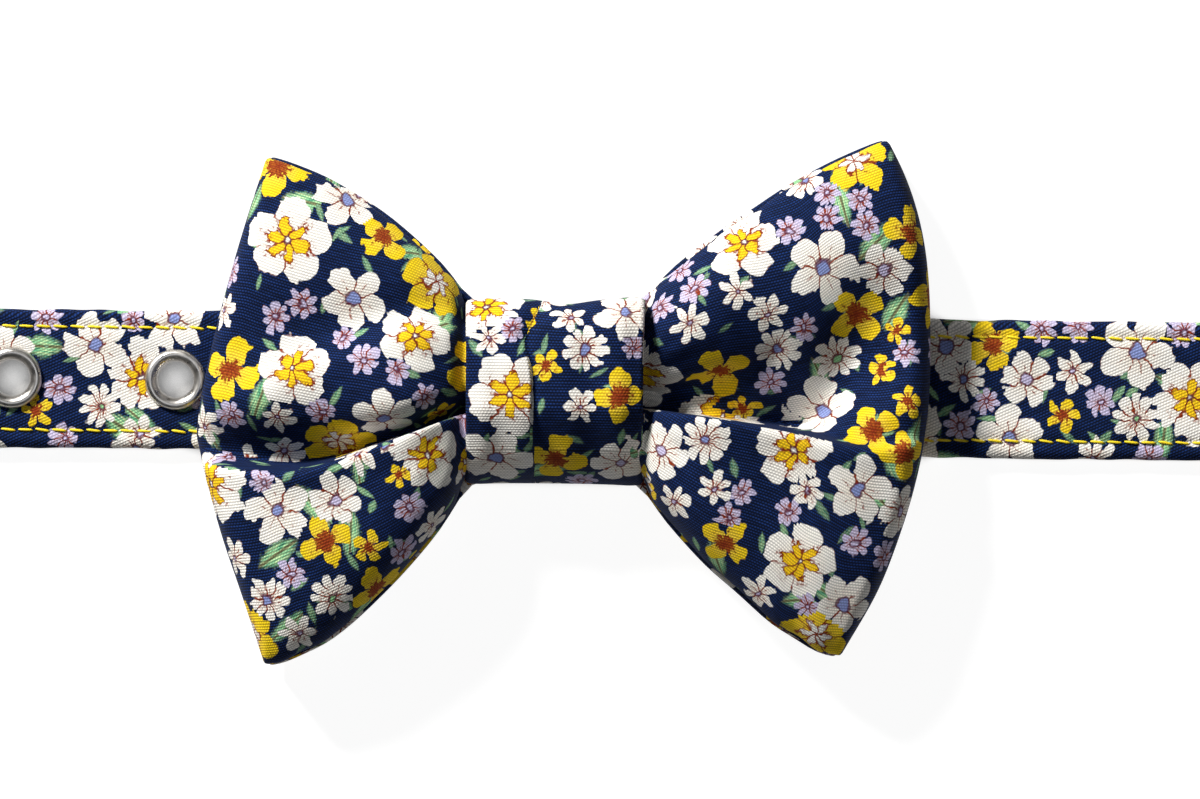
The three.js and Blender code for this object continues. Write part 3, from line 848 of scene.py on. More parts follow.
# Each wing: side of the knot, heights of its long edges at the knot and at the corners, powers of their
# curves, how far out the corners are, and the outer edge: reach, height of the furthest point, and how
# far it falls back to the upper and lower corner, with the powers of those curves.
WINGS = {
    "left": {
        "side": -1,
        "knot_high": 13.1,
        "corner_high": 31.7,
        "power_high": 1.62,
        "knot_low": -16.1,
        "corner_low": -41.1,
        "power_low": 1.6,
        "reach": 52.3,
        "peak": -8.5,
        "fall_high": 9.6,
        "bend_high": 1.35,
        "fall_low": 10.2,
        "bend_low": 1.1,
    },
    "right": {
        "side": 1,
        "knot_high": 13.1,
        "corner_high": 35.3,
        "power_high": 1.35,
        "knot_low": -15.4,
        "corner_low": -39.1,
        "power_low": 1.4,
        "reach": 54.8,
        "peak": 3.0,
        "fall_high": 6.3,
        "bend_high": 3.0,
        "fall_low": 12.4,
        "bend_low": 2.0,
    },
}

# Sections across a wing from the knot (0) to the outer fold (1): height of its long edges and its crest.
SECTIONS = {
    "out": (0, 0.2, 0.55, 0.85, 1),
    "edge": (9.0, 10.2, 11, 11.2, 10.6),
    "crest": (16.4, 19, 18.4, 17.4, 16.2),
}
LOW_EDGE_UP = 1  # how much higher the lower long edge is
DOME_HIGH, DOME_LOW = 2.8, 5.6  # how flat a section is above and below its middle

# Folds pressed into the front: distance from the knot's middle, height, depth, and half widths of the
# steep side below and of the gentle side above.
FOLDS = {
    "left": [
        [
            (13, -4.4, 7.5, 0.8, 2.0),
            (24, -8.2, 7.4, 0.9, 2.4),
            (37, -11.5, 8.2, 1.2, 4.8),
            (46, -10.8, 6.2, 1.6, 5.4),
            (52, -9.6, 3.2, 2.2, 5.2),
        ],
        [
            (13, 10.6, 1.0, 3.0, 3.0),
            (20, 10.8, 2.2, 2.8, 3.0),
            (28, 9.0, 2.6, 3.4, 4.6),
            (38, 7.2, 2.2, 5.0, 6.5),
            (48, 3.0, 1.4, 6.0, 7.0),
        ],
    ],
    "right": [
        [
            (13, -3.4, 9.0, 1.2, 6.0),
            (24, -4.4, 11.0, 1.0, 10.5),
            (31, -5.0, 11.0, 1.1, 13.5),
            (37, -4.8, 10.8, 1.8, 14.5),
            (41.5, 0.0, 9.4, 6.0, 13.5),
            (46, 5.2, 7.0, 9.5, 12.0),
            (50.5, 9.4, 4.0, 12.0, 9.0),
            (54.5, 11.5, 1.6, 14.0, 7.5),
        ],
        [
            (13, -1.6, 2.5, 3.0, 0.8),
            (20, 0.4, 2.4, 3.0, 0.8),
            (27.5, 2.6, 1.2, 3.5, 1.0),
            (34, 6.0, 0.0, 4.0, 1.5),
        ],
        [
            (24, -4.2, 0.0, 0.8, 2.0),
            (31, -5.2, 2.4, 0.8, 2.4),
            (38, -6.4, 2.4, 0.8, 2.6),
            (46, -7.8, 2.0, 0.9, 2.8),
            (54.5, -6.0, 1.0, 1.0, 2.8),
        ],
    ],
}

# The rolled lip of the lobe below each main fold: distance from the knot's middle and height.
LIPS = {
    "left": ((13, -5.0), (18.4, -7.1), (24, -9.2), (31.5, -12.0), (37.3, -12.9), (43, -12.5), (52, -10.8)),
    "right": ((13, -5.1), (21, -5.4), (30, -6.2), (37, -7.4), (46, -8.9), (54.5, -7.0)),
}
LIP_RISE = 0.9  # height of that lip
RIPPLE, STRAIN = 0.35, 0.22  # height of the cloth's ripples, and of its strain lines by the knot
DIP = 1.8  # how far a wing sinks beside the knot
CUSP = 1.65  # how suddenly the upper side of a fold turns at its bottom near the knot; 2 is soft
LEAN = 1.4  # how far the fold's lower lip hangs over it at the knot
LEAN_UNTIL = 42.0  # distance from the knot's middle where it stops hanging over
BULGE = 3.2  # how far the outer fold stands out from where front and back end
DROOP = 1.3  # how far the back sinks where it stands clear of the strap
BACK_GAP, BACK_RIPPLE = 0.3, 0.12  # between the back and the strap, and height of the back's ripples
UNEVEN_HIGH, UNEVEN_LOW = 0.3, 0.4  # how uneven the upper and lower long edges are
STRAIN_FROM, STRAIN_LINES = (6, -1.5), 26  # where the strain lines fan out from, and how close they are
ROOT = -0.12  # where a wing's rows start, inside the knot, as a share of its reach
FRONT_ROWS, TURN_ROWS, BACK_ROWS = 92, 12, 24
BOW_COLUMNS = 140
LOW_LOBE, HIGH_LOBE = 0.22, 0.72  # middle of each lobe, as a share of the columns
DENSE = 500  # points across a wing before it is spaced out evenly


def outer_edge(wing, y):
    """How far out the wing reaches at a height."""
    above = np.clip((y - wing["peak"]) / (wing["corner_high"] - wing["peak"]), 0, 1)
    below = np.clip((wing["peak"] - y) / (wing["peak"] - wing["corner_low"]), 0, 1)
    fall = wing["fall_high"] * above ** wing["bend_high"] + wing["fall_low"] * below ** wing["bend_low"]
    return wing["reach"] - fall


def bulge(across):
    """How far the outer fold stands out: evenly along it, but hardly at the sharp corners."""
    return BULGE * (1 - 0.85 * np.abs(across) ** 7)


def wing_lines(wing, out, across):
    """Distance from the knot's middle and height of a point of the wing, before it is folded."""
    spread_high = 1 - (1 - np.clip(out, 0, 1)) ** wing["power_high"]
    spread_low = 1 - (1 - np.clip(out, 0, 1)) ** wing["power_low"]
    high = mix(wing["knot_high"], wing["corner_high"], spread_high)
    low = mix(wing["knot_low"], wing["corner_low"], spread_low)
    share = (across + 1) / 2
    edge = outer_edge(wing, mix(wing["corner_low"], wing["corner_high"], share)) - bulge(across)
    x = KNOT_HALF - 0.2 + (edge - KNOT_HALF + 0.2) * out
    freed = smooth(KNOT_HALF - 1.2, KNOT_HALF + 1.4, x)
    high = high + UNEVEN_HIGH * ripples(x, x * 0 + wing["side"], (6, 15), 14) * smooth(0.1, 0.4, out)
    low = low + UNEVEN_LOW * ripples(x, x * 0 + wing["side"], (5, 12), 15) * smooth(0.1, 0.4, out)
    high = mix(KNOT_HIGH[1] - 2.4, high, freed)
    low = mix(KNOT_LOW[1] + 2.4, low, freed)
    return x, mix(low, high, share)


def fold_at(rows, x, y):
    """Depth of one fold at a point, and the signed distance above its line."""
    columns = list(zip(*rows))
    line, depth, below, above = (curve_through(columns[0], columns[k], x) for k in (1, 2, 3, 4))
    off = y - line
    steep = np.exp(-((np.abs(off) / below) ** 3))
    power = mix(CUSP, 2, smooth(36, 50, x))
    gentle = np.exp(-((np.abs(off) / above) ** power))
    return np.maximum(depth, 0) * np.where(off < 0, steep, gentle), off


def front_surface(name, out, across):
    """The outside of a wing's front."""
    wing = WINGS[name]
    x, y = wing_lines(wing, out, across)
    edge = curve_through(SECTIONS["out"], SECTIONS["edge"], out)
    crest = curve_through(SECTIONS["out"], SECTIONS["crest"], out)
    dome = (1 - np.abs(across) ** np.where(across > 0, DOME_HIGH, DOME_LOW)) ** 0.8
    z = mix(np.where(across > 0, edge, edge + LOW_EDGE_UP), crest, dome)
    for rows in FOLDS[name]:
        drop, _ = fold_at(rows, x, y)
        z = z - drop
    _, off = fold_at(FOLDS[name][0], x, y)
    lean = LEAN * (1 - smooth(KNOT_HALF, LEAN_UNTIL, x))
    away = smooth(KNOT_HALF, KNOT_HALF + 6, x)
    z = z + RIPPLE * ripples(wing["side"] * x, y, (11, 24), 3) * away * dome
    fan = np.arctan2(y - STRAIN_FROM[1], x - STRAIN_FROM[0])
    strain = np.sin(fan * STRAIN_LINES + 1.0) * (1 - smooth(KNOT_HALF, KNOT_HALF + 13, x))
    z = z + STRAIN * strain * away
    z = z - DIP * hump(x, KNOT_HALF, 1.1)
    from_lip = y - curve_through(*zip(*LIPS[name]), x)
    roll = np.where(from_lip > 0, hump(from_lip, 0, 0.7), hump(from_lip, 0, 2.6))
    z = z + LIP_RISE * roll * away * (1 - 0.4 * smooth(30, 52, x))
    y = y + lean * hump(off, -1.6, 1.0)
    return np.stack([wing["side"] * x, y, z], axis=-1)


def back_surface(name, out, across):
    """The outside of a wing's back, which lies on the strap."""
    wing = WINGS[name]
    x, y = wing_lines(wing, out, across)
    past_strap = smooth(STRAP_HALF + 1, 34, np.abs(y))
    past_knot = smooth(KNOT_HALF, 34, x)
    z = strap_back(x) + STRAP_THICK + BACK_GAP - DROOP * past_strap * past_knot
    z = z + BACK_RIPPLE * np.abs(ripples(x, y, (12, 26), 5))
    return np.stack([wing["side"] * x, y, z], axis=-1)


def bow_grid():
    """Rows of points round the bow's band: right front, fold and back, then left back, fold and front."""
    across = np.linspace(-1, 1, DENSE)

    def wing_rows(name):
        side = WINGS[name]["side"]
        outward, inward = np.linspace(ROOT, 1, FRONT_ROWS), np.linspace(1, ROOT, BACK_ROWS)
        fronts = [front_surface(name, np.full(DENSE, out), across) for out in outward]
        backs = [back_surface(name, np.full(DENSE, out), across) for out in inward]
        turns = []
        for share in np.linspace(0, 1, TURN_ROWS + 2)[1:-1]:
            bow = mix(fronts[-1], backs[0], (1 - np.cos(np.pi * share)) / 2)
            bow[:, 0] += side * bulge(across) * np.sin(np.pi * share)
            turns.append(bow)
        return [*fronts, *turns, *backs]

    right = wing_rows("right")
    left = wing_rows("left")[::-1]
    rows = [respaced(row, BOW_COLUMNS) for row in [*right, *left]]
    return relaxed(np.array(rows), 2)


def along_and_across(points, anchors):
    """Distances along the rows and across the columns of a grid, in mm. Distance across is measured from
    each anchor column in turn, one grid for each."""
    step_along = np.linalg.norm(np.diff(points, axis=0), axis=2)
    along = np.concatenate([np.zeros((1, points.shape[1])), np.cumsum(step_along, axis=0)])
    step_across = np.linalg.norm(np.diff(points, axis=1), axis=2)
    across = np.concatenate([np.zeros((len(points), 1)), np.cumsum(step_across, axis=1)], axis=1)
    on_middle = along[:, [points.shape[1] // 4]] + np.zeros_like(along)
    return on_middle, [across - across[:, [column]] for column in anchors]


def above_fold(middles):
    """Whether each face is above its wing's main fold."""
    fold_height = np.empty(len(middles))
    for name, wing in WINGS.items():
        here = middles[:, 0] * wing["side"] >= 0
        columns = list(zip(*FOLDS[name][0]))
        fold_height[here] = curve_through(columns[0], columns[1], np.abs(middles[here, 0]))
    return middles[:, 1] > fold_height


def build_bow():
    """The bow's band. Its threads run out from the knot along each lobe, on either side of the fold."""
    points = thickened(bow_grid(), CLOTH)
    faces = ring_faces(*points.shape[:2], True)
    piece = mesh_object("bow_band", points, faces, COTTON)
    flat = points.reshape(-1, 3)
    print_flowers(piece, flat, faces, BOW_CHART, BOW_SEED)
    anchors = (int(BOW_COLUMNS * LOW_LOBE), int(BOW_COLUMNS * HIGH_LOBE))
    along, (from_low, from_high) = along_and_across(points, anchors)
    upper = above_fold(flat[faces].mean(axis=1))
    v = np.where(upper[:, None], face_corners(from_high), face_corners(from_low))
    u = face_corners(along)
    carry_across(v)
    carry_along(u)
    lay_threads(piece, np.stack([u, v], axis=2))
    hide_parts("bow")


# ---------------------------------------------------------------- the knot

PLEAT = {"y": (-15, -5, 3, 6, 9, 12.5), "x": (-2.8, -3.1, -3.5, -4.3, -3.3, -1.6)}
PLEAT_STEP = 0.6  # how far the left of the pleat stands over the right
PLEAT_HIDES = 3.6  # width of cloth folded away under it
PLEAT_OPENS = (2.5, 7.5)  # heights between which it opens, near the top
KNOT_BREAK, KNOT_SLANT = -3.6, 7.0  # where the front turns down towards its lower edge, and how far
FRONT_CORNER, BACK_CORNER = 5.0, 2.6  # radii of the corners of its section
KNOT_ROWS, KNOT_COLUMNS = 176, 132


def knot_section():
    """The closed section of the knot's outside, as heights y and z, from the front's upper end down."""
    (low, high), (back, front) = (KNOT_LOW[1], KNOT_HIGH[1]), (KNOT_LOW[2], KNOT_HIGH[2])
    corners = (
        (low + FRONT_CORNER, front - FRONT_CORNER, FRONT_CORNER, 0.5),
        (low + BACK_CORNER, back + BACK_CORNER, BACK_CORNER, 1.0),
        (high - BACK_CORNER, back + BACK_CORNER, BACK_CORNER, 1.5),
        (high - FRONT_CORNER, front - FRONT_CORNER, FRONT_CORNER, 2.0),
    )
    line = []
    for y, z, radius, start in corners:
        for angle in np.pi * (start + np.linspace(0, 0.5, 24)):
            line.append((y + radius * np.cos(angle), z + radius * np.sin(angle)))
    line.append(line[0])
    return respaced(np.array(line), KNOT_ROWS + 1)[:-1]


def let_out(x, y):
    """Where a point would lie along the knot with the pleat let out, so that the pleat cuts the print."""
    off = x - curve_through(PLEAT["y"], PLEAT["x"], y)
    return x + PLEAT_HIDES * smooth(-0.1, 0.2, off)


def knot_relief(x, y):
    """How far the cloth of the front stands up: its pleat, its crown and the drag towards its ends."""
    off = x - curve_through(PLEAT["y"], PLEAT["x"], y)
    held = 1 - smooth(*PLEAT_OPENS, y)
    over = PLEAT_STEP * (1 - smooth(-0.25, 0.05, off)) * np.exp(-((np.minimum(off, 0) / 8) ** 2)) * held
    tuck = -0.3 * hump(off, 0.25, 0.7) * (off > -0.1) - 0.7 * hump(off, 0, 1.4) * (1 - held)
    crown = 0.5 * (1 - (x / KNOT_HALF) ** 2) - 0.9 * smooth(0.72, 1.0, np.abs(x) / KNOT_HALF)
    middle = (KNOT_LOW[1] + KNOT_HIGH[1]) / 2
    share = (y - middle) / (KNOT_HIGH[1] - middle)
    crown = crown - np.where(share > 0, 1.8 * np.abs(share) ** 2.6, 1.0 * np.abs(share) ** 2)
    drag = 0.25 * np.sin(x * 0.9 + 0.06 * y) * smooth(-6, 8, np.abs(y))
    return over + tuck + crown + drag + 0.15 * ripples(x, y, (6, 14), 8)


def knot_grid():
    """The outside of the knot's band: its section, swept across and shaped by its relief, its slanting
    lower part and its drawn-in edges."""
    section = knot_section()
    across = np.linspace(-KNOT_HALF + CLOTH / 2, KNOT_HALF - CLOTH / 2, KNOT_COLUMNS)
    x, y = np.meshgrid(across, section[:, 0])
    z = np.repeat(section[:, 1:2], KNOT_COLUMNS, axis=1)
    front = smooth(KNOT_HIGH[2] * 0.55, KNOT_HIGH[2], z)
    z = z + front * knot_relief(x, y)
    slant = np.clip((KNOT_BREAK - y) / (KNOT_BREAK - KNOT_LOW[1]), 0, 1) ** 1.25
    z = z - KNOT_SLANT * slant * smooth(1, 13, z)
    top = smooth(4, KNOT_HIGH[1], y)
    bottom = smooth(4, -KNOT_LOW[1], -y)
    y = y + top * (-0.7 * hump(x, 1.6, 3.5) + 0.5 * hump(x, 12.5, 4))
    y = y - bottom * (0.35 * (np.abs(x) / KNOT_HALF) ** 3 - 0.25)
    ends = smooth(0.8, 1.0, np.abs(x) / KNOT_HALF)
    y = y - 0.3 * ends * np.sign(y) * (1 - front)
    return relaxed(np.stack([x, y, z], axis=-1), 1)


def build_knot():
    """The knot's band. Its weft lies across it, so the threads' rows follow its section."""
    points = thickened(knot_grid(), CLOTH - 0.2)
    rows, ring = points.shape[:2]
    faces = ring_faces(rows, ring, True)
    piece = mesh_object("knot_band", points, faces, COTTON)
    unpleated = points.reshape(-1, 3).copy()
    unpleated[:, 0] = let_out(unpleated[:, 0], unpleated[:, 1])
    chart = [(kind, let_out(x, y), y) for kind, x, y in KNOT_CHART]
    print_flowers(piece, unpleated, faces, chart, KNOT_SEED)
    step = np.linalg.norm(np.roll(points, -1, axis=0) - points, axis=2).mean(axis=1)
    round_it = np.repeat(np.cumsum(step)[:, None], ring, axis=1)
    along = np.repeat(points[rows // 8 : rows // 8 + 1, :, 0], rows, axis=0)
    v = face_corners(round_it)
    carry_along(v)
    lay_threads(piece, np.stack([face_corners(along), v], axis=2))
    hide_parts("knot")


# ---------------------------------------------------------------- the strap

EYELET_SPACING = 24.0
ROW_STEP = EYELET_SPACING / 36  # so that rows fall on both sides of each eyelet
HEM = 1.2  # radius of the strap's folded long edges
STRAP_CELLS = 52
FLAT_HALF = STRAP_HALF - HEM
CELL = 2 * FLAT_HALF / STRAP_CELLS
HOLE_CELLS = 6  # half the square of cells opened at an eyelet
HOLE_RADIUS = 3.1  # of the round hole that the square becomes
SLOT_CELLS = 8  # half the width of the slot for the buckle's tongue
SLOT_START = 214.5  # along the strap
TIP_ROUND = 7.0  # radius of the tip's corners
BIAS = math.radians(24)  # the strap is cut a little on the bias
STITCH_IN = 2.6  # from the strap's long edge to its top-stitching
STITCH_PITCH, STITCH_LONG, THREAD_THICK = 2.5, 2.05, 0.42
STITCH_SEED = 5  # of how much each stitch slants
STITCH_RISE, STITCH_DIP = 0.17, 0.13  # how far a stitch bows out, and how deep its ends lie
SUNK = 0.16  # how far a stitch pulls the cloth in
FIRST_STITCH, OPEN_UNDER = 4.0, 55.0  # along the strap: the first stitch, and where its underside is bare
WAVER, DIMPLE, PLUMP = 0.16, 0.3, 0.12  # of the long edges, at the stitches and inside their rows

# Sides of a cell of the strap: the cell beside it, and the first and last corner of the side.
CELL_SIDES = (
    ((-1, 0), (0, 0), (0, 1)),
    ((1, 0), (1, 1), (1, 0)),
    ((0, -1), (1, 0), (0, 0)),
    ((0, 1), (0, 1), (1, 1)),
)


def eyelet_centres():
    """Where the eyelets are along the strap."""
    return [(box_mm(name)[0][0] + box_mm(name)[1][0]) / 2 for name in EYELETS]


def strap_line():
    """The middle line of the strap's cloth, as x and z, from its turned end round the bar to the tip."""
    under = [(x, STRAP_THICK / 2) for x in np.arange(TURNED_END, BAR_X, ROW_STEP)]
    turn = []
    for angle in np.linspace(-np.pi / 2, np.pi / 2, 18):
        turn.append((BAR_X + LOOP_RADIUS * math.cos(angle), BAR_Z + LOOP_RADIUS * math.sin(angle)))
    first = max(eyelet_centres())
    count = int((BAR_X - first) / ROW_STEP)
    xs = first + ROW_STEP * np.arange(count, -400, -1)
    xs = np.append(xs[xs > STRAP_LOW[0] + ROW_STEP / 3], STRAP_LOW[0])
    joined = strap_back(xs) + STRAP_THICK / 2
    parted = BAR_Z + LOOP_RADIUS
    top = mix(joined, parted, smooth(PARTED - 2, BAR_X - 1, xs))
    return np.array([*under, *turn, *zip(xs, top)])


def strap_frames(line):
    """Directions and outward normals along the strap's middle line."""
    ahead = unit(np.gradient(line, axis=0))
    return ahead, np.stack([ahead[:, 1], -ahead[:, 0]], axis=1)


def strap_ring():
    """One ring round the strap: each point's place across it, and its side, from 1 outside to -1 inside."""
    y = np.linspace(FLAT_HALF, -FLAT_HALF, STRAP_CELLS + 1)
    angles = np.linspace(0, np.pi, RIM_POINTS + 2)[1:-1]
    ring = [(place, 1.0) for place in y]
    ring += [(-FLAT_HALF - HEM * math.sin(a), math.cos(a)) for a in angles]
    ring += [(place, -1.0) for place in y[::-1]]
    ring += [(FLAT_HALF + HEM * math.sin(a), -math.cos(a)) for a in angles]
    return np.array(ring)


def strap_points():
    """Rings of points along the strap: the outside, a hem, the inside and the other hem."""
    line = strap_line()
    _, out = strap_frames(line)
    ring = strap_ring()
    from_tip = np.clip(line[:, 0] - STRAP_LOW[0], 0, TIP_ROUND)
    tip_half = STRAP_HALF - TIP_ROUND + np.sqrt(TIP_ROUND**2 - (TIP_ROUND - from_tip) ** 2)
    across = ring[None, :, 0] * (tip_half / STRAP_HALF)[:, None]
    length = np.concatenate([[0], np.cumsum(np.linalg.norm(np.diff(line, axis=0), axis=1))])
    waver = WAVER * ripples(length[:, None] + 0 * across, 3 * np.sign(across), (5, 14), 9)
    across = across + np.sign(across) * waver * smooth(FLAT_HALF - 2, STRAP_HALF, np.abs(across))
    from_row = np.abs(across) - (STRAP_HALF - STITCH_IN)
    beat = 0.65 + 0.35 * np.cos(2 * np.pi * length / STITCH_PITCH)[:, None]
    dimple = DIMPLE * hump(from_row, 0, 0.55) * beat
    plump = PLUMP * hump(from_row, -2.2, 1.6) - 0.1
    half = STRAP_THICK / 2 + plump - dimple + 0.1 * ripples(line[:, :1] + 0 * across, across, (7, 16), 4)
    offset = ring[None, :, 1] * half
    x = line[:, 0:1] + out[:, 0:1] * offset
    z = line[:, 1:2] + out[:, 1:2] * offset
    return np.stack([x, across, z], axis=-1), length


def open_eyelets(points):
    """Rounds the cells about each eyelet, so that a square of them is a round hole."""
    for centre in eyelet_centres():
        dx, dy = points[..., 0] - centre, points[..., 1]
        reach_x, reach_y = HOLE_CELLS / 2 * ROW_STEP, HOLE_CELLS * CELL
        square = np.maximum(np.abs(dx) / reach_x, np.abs(dy) / reach_y)
        near = (square < 2.4) & (points[..., 2] < 4)
        away = np.maximum(np.hypot(dx, dy), 1e-6)
        keep = smooth(1, 2.4, square)
        for axis, gap in ((0, dx), (1, dy)):
            middle = centre if axis == 0 else 0.0
            moved = middle + mix(gap / away * HOLE_RADIUS * square, gap, keep)
            points[..., axis] = np.where(near, moved, points[..., axis])
    return points


def strap_holes(line):
    """Which cells of the outside are cut away: a square at each eyelet, and the tongue's slot."""
    rows = len(line) - 1
    cut = np.zeros((rows, STRAP_CELLS), bool)
    centre_cell = STRAP_CELLS // 2
    x = (line[1:, 0] + line[:-1, 0]) / 2
    for centre in eyelet_centres():
        near = np.abs(x - centre) < HOLE_CELLS / 2 * ROW_STEP
        cut[near, centre_cell - HOLE_CELLS : centre_cell + HOLE_CELLS] = True
    slot = x > SLOT_START
    cut[slot, centre_cell - SLOT_CELLS : centre_cell + SLOT_CELLS] = True
    return cut


def strap_faces(rows, ring, cut):
    """Quads of the strap with its holes cut out and walled, and its two ends closed."""
    faces = ring_faces(rows, ring, False).reshape(rows - 1, ring, 4)
    inside_start = STRAP_CELLS + 1 + RIM_POINTS
    keep = np.ones((rows - 1, ring), bool)
    keep[:, :STRAP_CELLS] &= ~cut
    keep[:, inside_start : inside_start + STRAP_CELLS] &= ~cut[:, ::-1]

    def top(i, j):
        return i * ring + j

    def under(i, j):
        return i * ring + inside_start + STRAP_CELLS - j

    walls = []
    padded_cut = np.pad(cut, 1)
    for i, j in zip(*np.nonzero(cut)):
        for (beside_i, beside_j), (start_i, start_j), (end_i, end_j) in CELL_SIDES:
            if not padded_cut[i + 1 + beside_i, j + 1 + beside_j]:
                start, end = (i + start_i, j + start_j), (i + end_i, j + end_j)
                walls.append((top(*start), top(*end), under(*end), under(*start)))
    ends = []
    for row, turned in ((0, False), (rows - 1, True)):
        for j in range(STRAP_CELLS):
            quad = (top(row, j), top(row, j + 1), under(row, j + 1), under(row, j))
            ends.append(quad[::-1] if turned else quad)
        for first in (STRAP_CELLS, ring - RIM_POINTS - 1):
            steps = range(RIM_POINTS + 2)
            hem = [row * ring + (first + k) % ring for k in steps]
            ends.append(tuple(hem[::-1] if turned else hem))
    return faces[keep], walls + ends


def build_strap():
    """The strap in one piece, from its turned end round the buckle's bar to its tip."""
    points, length = strap_points()
    rows, ring = points.shape[:2]
    cut = strap_holes(strap_line())
    points = open_eyelets(points)
    kept, closing = strap_faces(rows, ring, cut)
    quads = np.concatenate([kept, [face for face in closing if len(face) == 4]])
    piece = mesh_object("strap_cloth", points, quads, COTTON)
    print_flowers(piece, points.reshape(-1, 3), quads, STRAP_CHART, STRAP_SEED)
    u = np.repeat(length[:, None], ring, axis=1).reshape(-1)[quads]
    step = np.linalg.norm(np.diff(points[rows // 2], axis=0), axis=1)
    round_it = np.concatenate([[0], np.cumsum(step)])
    v = np.tile(round_it, rows)[quads]
    carry_across(v)
    along = u * math.cos(BIAS) + v * math.sin(BIAS)
    athwart = v * math.cos(BIAS) - u * math.sin(BIAS)
    lay_threads(piece, np.stack([along, athwart], axis=2))
    fill_hems(piece, [face for face in closing if len(face) != 4])
    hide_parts("strap", "strap_loop")


def fill_hems(piece, hems):
    """Closes the small round ends of the hems."""
    shape = bmesh.new()
    shape.from_mesh(piece.data)
    shape.verts.ensure_lookup_table()
    for hem in hems:
        shape.faces.new([shape.verts[number] for number in hem])
    shape.to_mesh(piece.data)
    shape.free()


def tube_ring(places, sides, radius, up):
    """Points of a tube along a short line, with its radius at each place."""
    ahead = unit(np.gradient(places, axis=0))
    side = unit(np.cross(ahead, up))
    above = np.cross(side, ahead)
    angles = np.linspace(0, 2 * np.pi, sides, endpoint=False)
    ring = side[:, None] * np.cos(angles)[None, :, None] + above[:, None] * np.sin(angles)[None, :, None]
    return places[:, None] + ring * radius[:, None, None]


def capped_tube(points):
    """Faces of an open tube with its two ends closed, for a grid of rings."""
    rows, ring = points.shape[:2]
    faces = [tuple(face) for face in ring_faces(rows, ring, False)]
    faces.append(tuple(range(ring)))
    faces.append(tuple((rows - 1) * ring + k for k in reversed(range(ring))))
    return faces


def joined_mesh(name, parts, material):
    """Several small closed shapes as one mesh."""
    points, faces, start = [], [], 0
    for shape_points, shape_faces in parts:
        flat = np.asarray(shape_points).reshape(-1, 3)
        points.append(flat)
        faces += [tuple(start + number for number in face) for face in shape_faces]
        start += len(flat)
    return mesh_object(name, np.concatenate(points), faces, material)


def stitch(place, ahead, out, random):
    """One stitch: a short thread that rises out of the cloth and dips back into it at both ends."""
    t = np.linspace(-1, 1, 9)
    rise = STITCH_RISE * (1 - np.abs(t) ** 3.5) - STITCH_DIP
    slant = random.uniform(0.04, 0.2)
    line = place + ahead * (t * STITCH_LONG / 2)[:, None] + out * rise[:, None]
    line[:, 1] += slant * t
    radius = THREAD_THICK / 2 * (1 - 0.45 * np.abs(t) ** 4)
    points = tube_ring(line, 6, radius, out)
    return points, capped_tube(points)


def build_stitches():
    """A row of stitches along each edge of the strap, above and where its underside is bare below."""
    line = strap_line()
    ahead, out = strap_frames(line)
    length = np.concatenate([[0], np.cumsum(np.linalg.norm(np.diff(line, axis=0), axis=1))])
    columns = (*line.T, *ahead.T, *out.T)
    random = np.random.default_rng(STITCH_SEED)
    parts = []
    for row_y in (STRAP_HALF - STITCH_IN, STITCH_IN - STRAP_HALF):
        for at in np.arange(FIRST_STITCH, length[-1] - STITCH_IN, STITCH_PITCH):
            x, z, ahead_x, ahead_z, out_x, out_z = (np.interp(at, length, column) for column in columns)
            if abs(x) < KNOT_HALF - 1 or x < STRAP_LOW[0] + 4:
                continue
            for face in (1, -1) if at >= OPEN_UNDER else (1,):
                normal = np.array([out_x, 0, out_z]) * face
                place = np.array([x, row_y, z]) + normal * (STRAP_THICK / 2 - SUNK)
                parts.append(stitch(place, np.array([ahead_x, 0, ahead_z]), normal, random))
    parts += cross_stitches(random)
    joined_mesh("top_stitching", parts, THREAD)


def cross_stitches(random):
    """The rows across the strap that hold its turned end, and the one across its tip."""
    parts = []
    for x in (TURNED_END + 2.5, PARTED - 4, STRAP_LOW[0] + 3.2):
        at_tip = x < 0
        reach = STRAP_HALF - STITCH_IN - (2 if at_tip else 0)
        back = strap_back(x) if at_tip else 0.0
        front = strap_back(x) + STRAP_THICK
        for y in np.arange(-reach + 1.2, reach, STITCH_PITCH):
            for z, up in ((front - SUNK, 1.0), (back + SUNK, -1.0)):
                place = np.array([x, y, z])
                parts.append(stitch(place, np.array([0, 1.0, 0]), np.array([0, 0, up]), random))
    return parts


# ---------------------------------------------------------------- metal

# The eyelets' profile: distance from their axis and height, from the foot of the barrel up its inside,
# over the rolled rim, down the outside of the barrel and round the back rim.
EYELET_PROFILE = [
    (2.62, 0.12),
    (2.60, 1.2),
    (2.62, 2.1),
    (2.70, 2.62),
    (2.90, 2.98),
    (3.20, 3.26),
    (3.55, 3.42),
    (3.90, 3.42),
    (4.22, 3.24),
    (4.42, 2.94),
    (4.50, 2.62),
    (4.42, 2.46),
    (4.20, 2.46),
    (3.80, 2.60),
    (3.10, 2.60),
    (3.00, 2.40),
    (3.00, 0.55),
    (3.20, 0.42),
    (4.30, 0.42),
    (4.50, 0.30),
    (4.50, 0.12),
    (4.38, 0.0),
    (2.80, 0.0),
]
EYELET_SIDES, PROFILE_POINTS = 72, 63


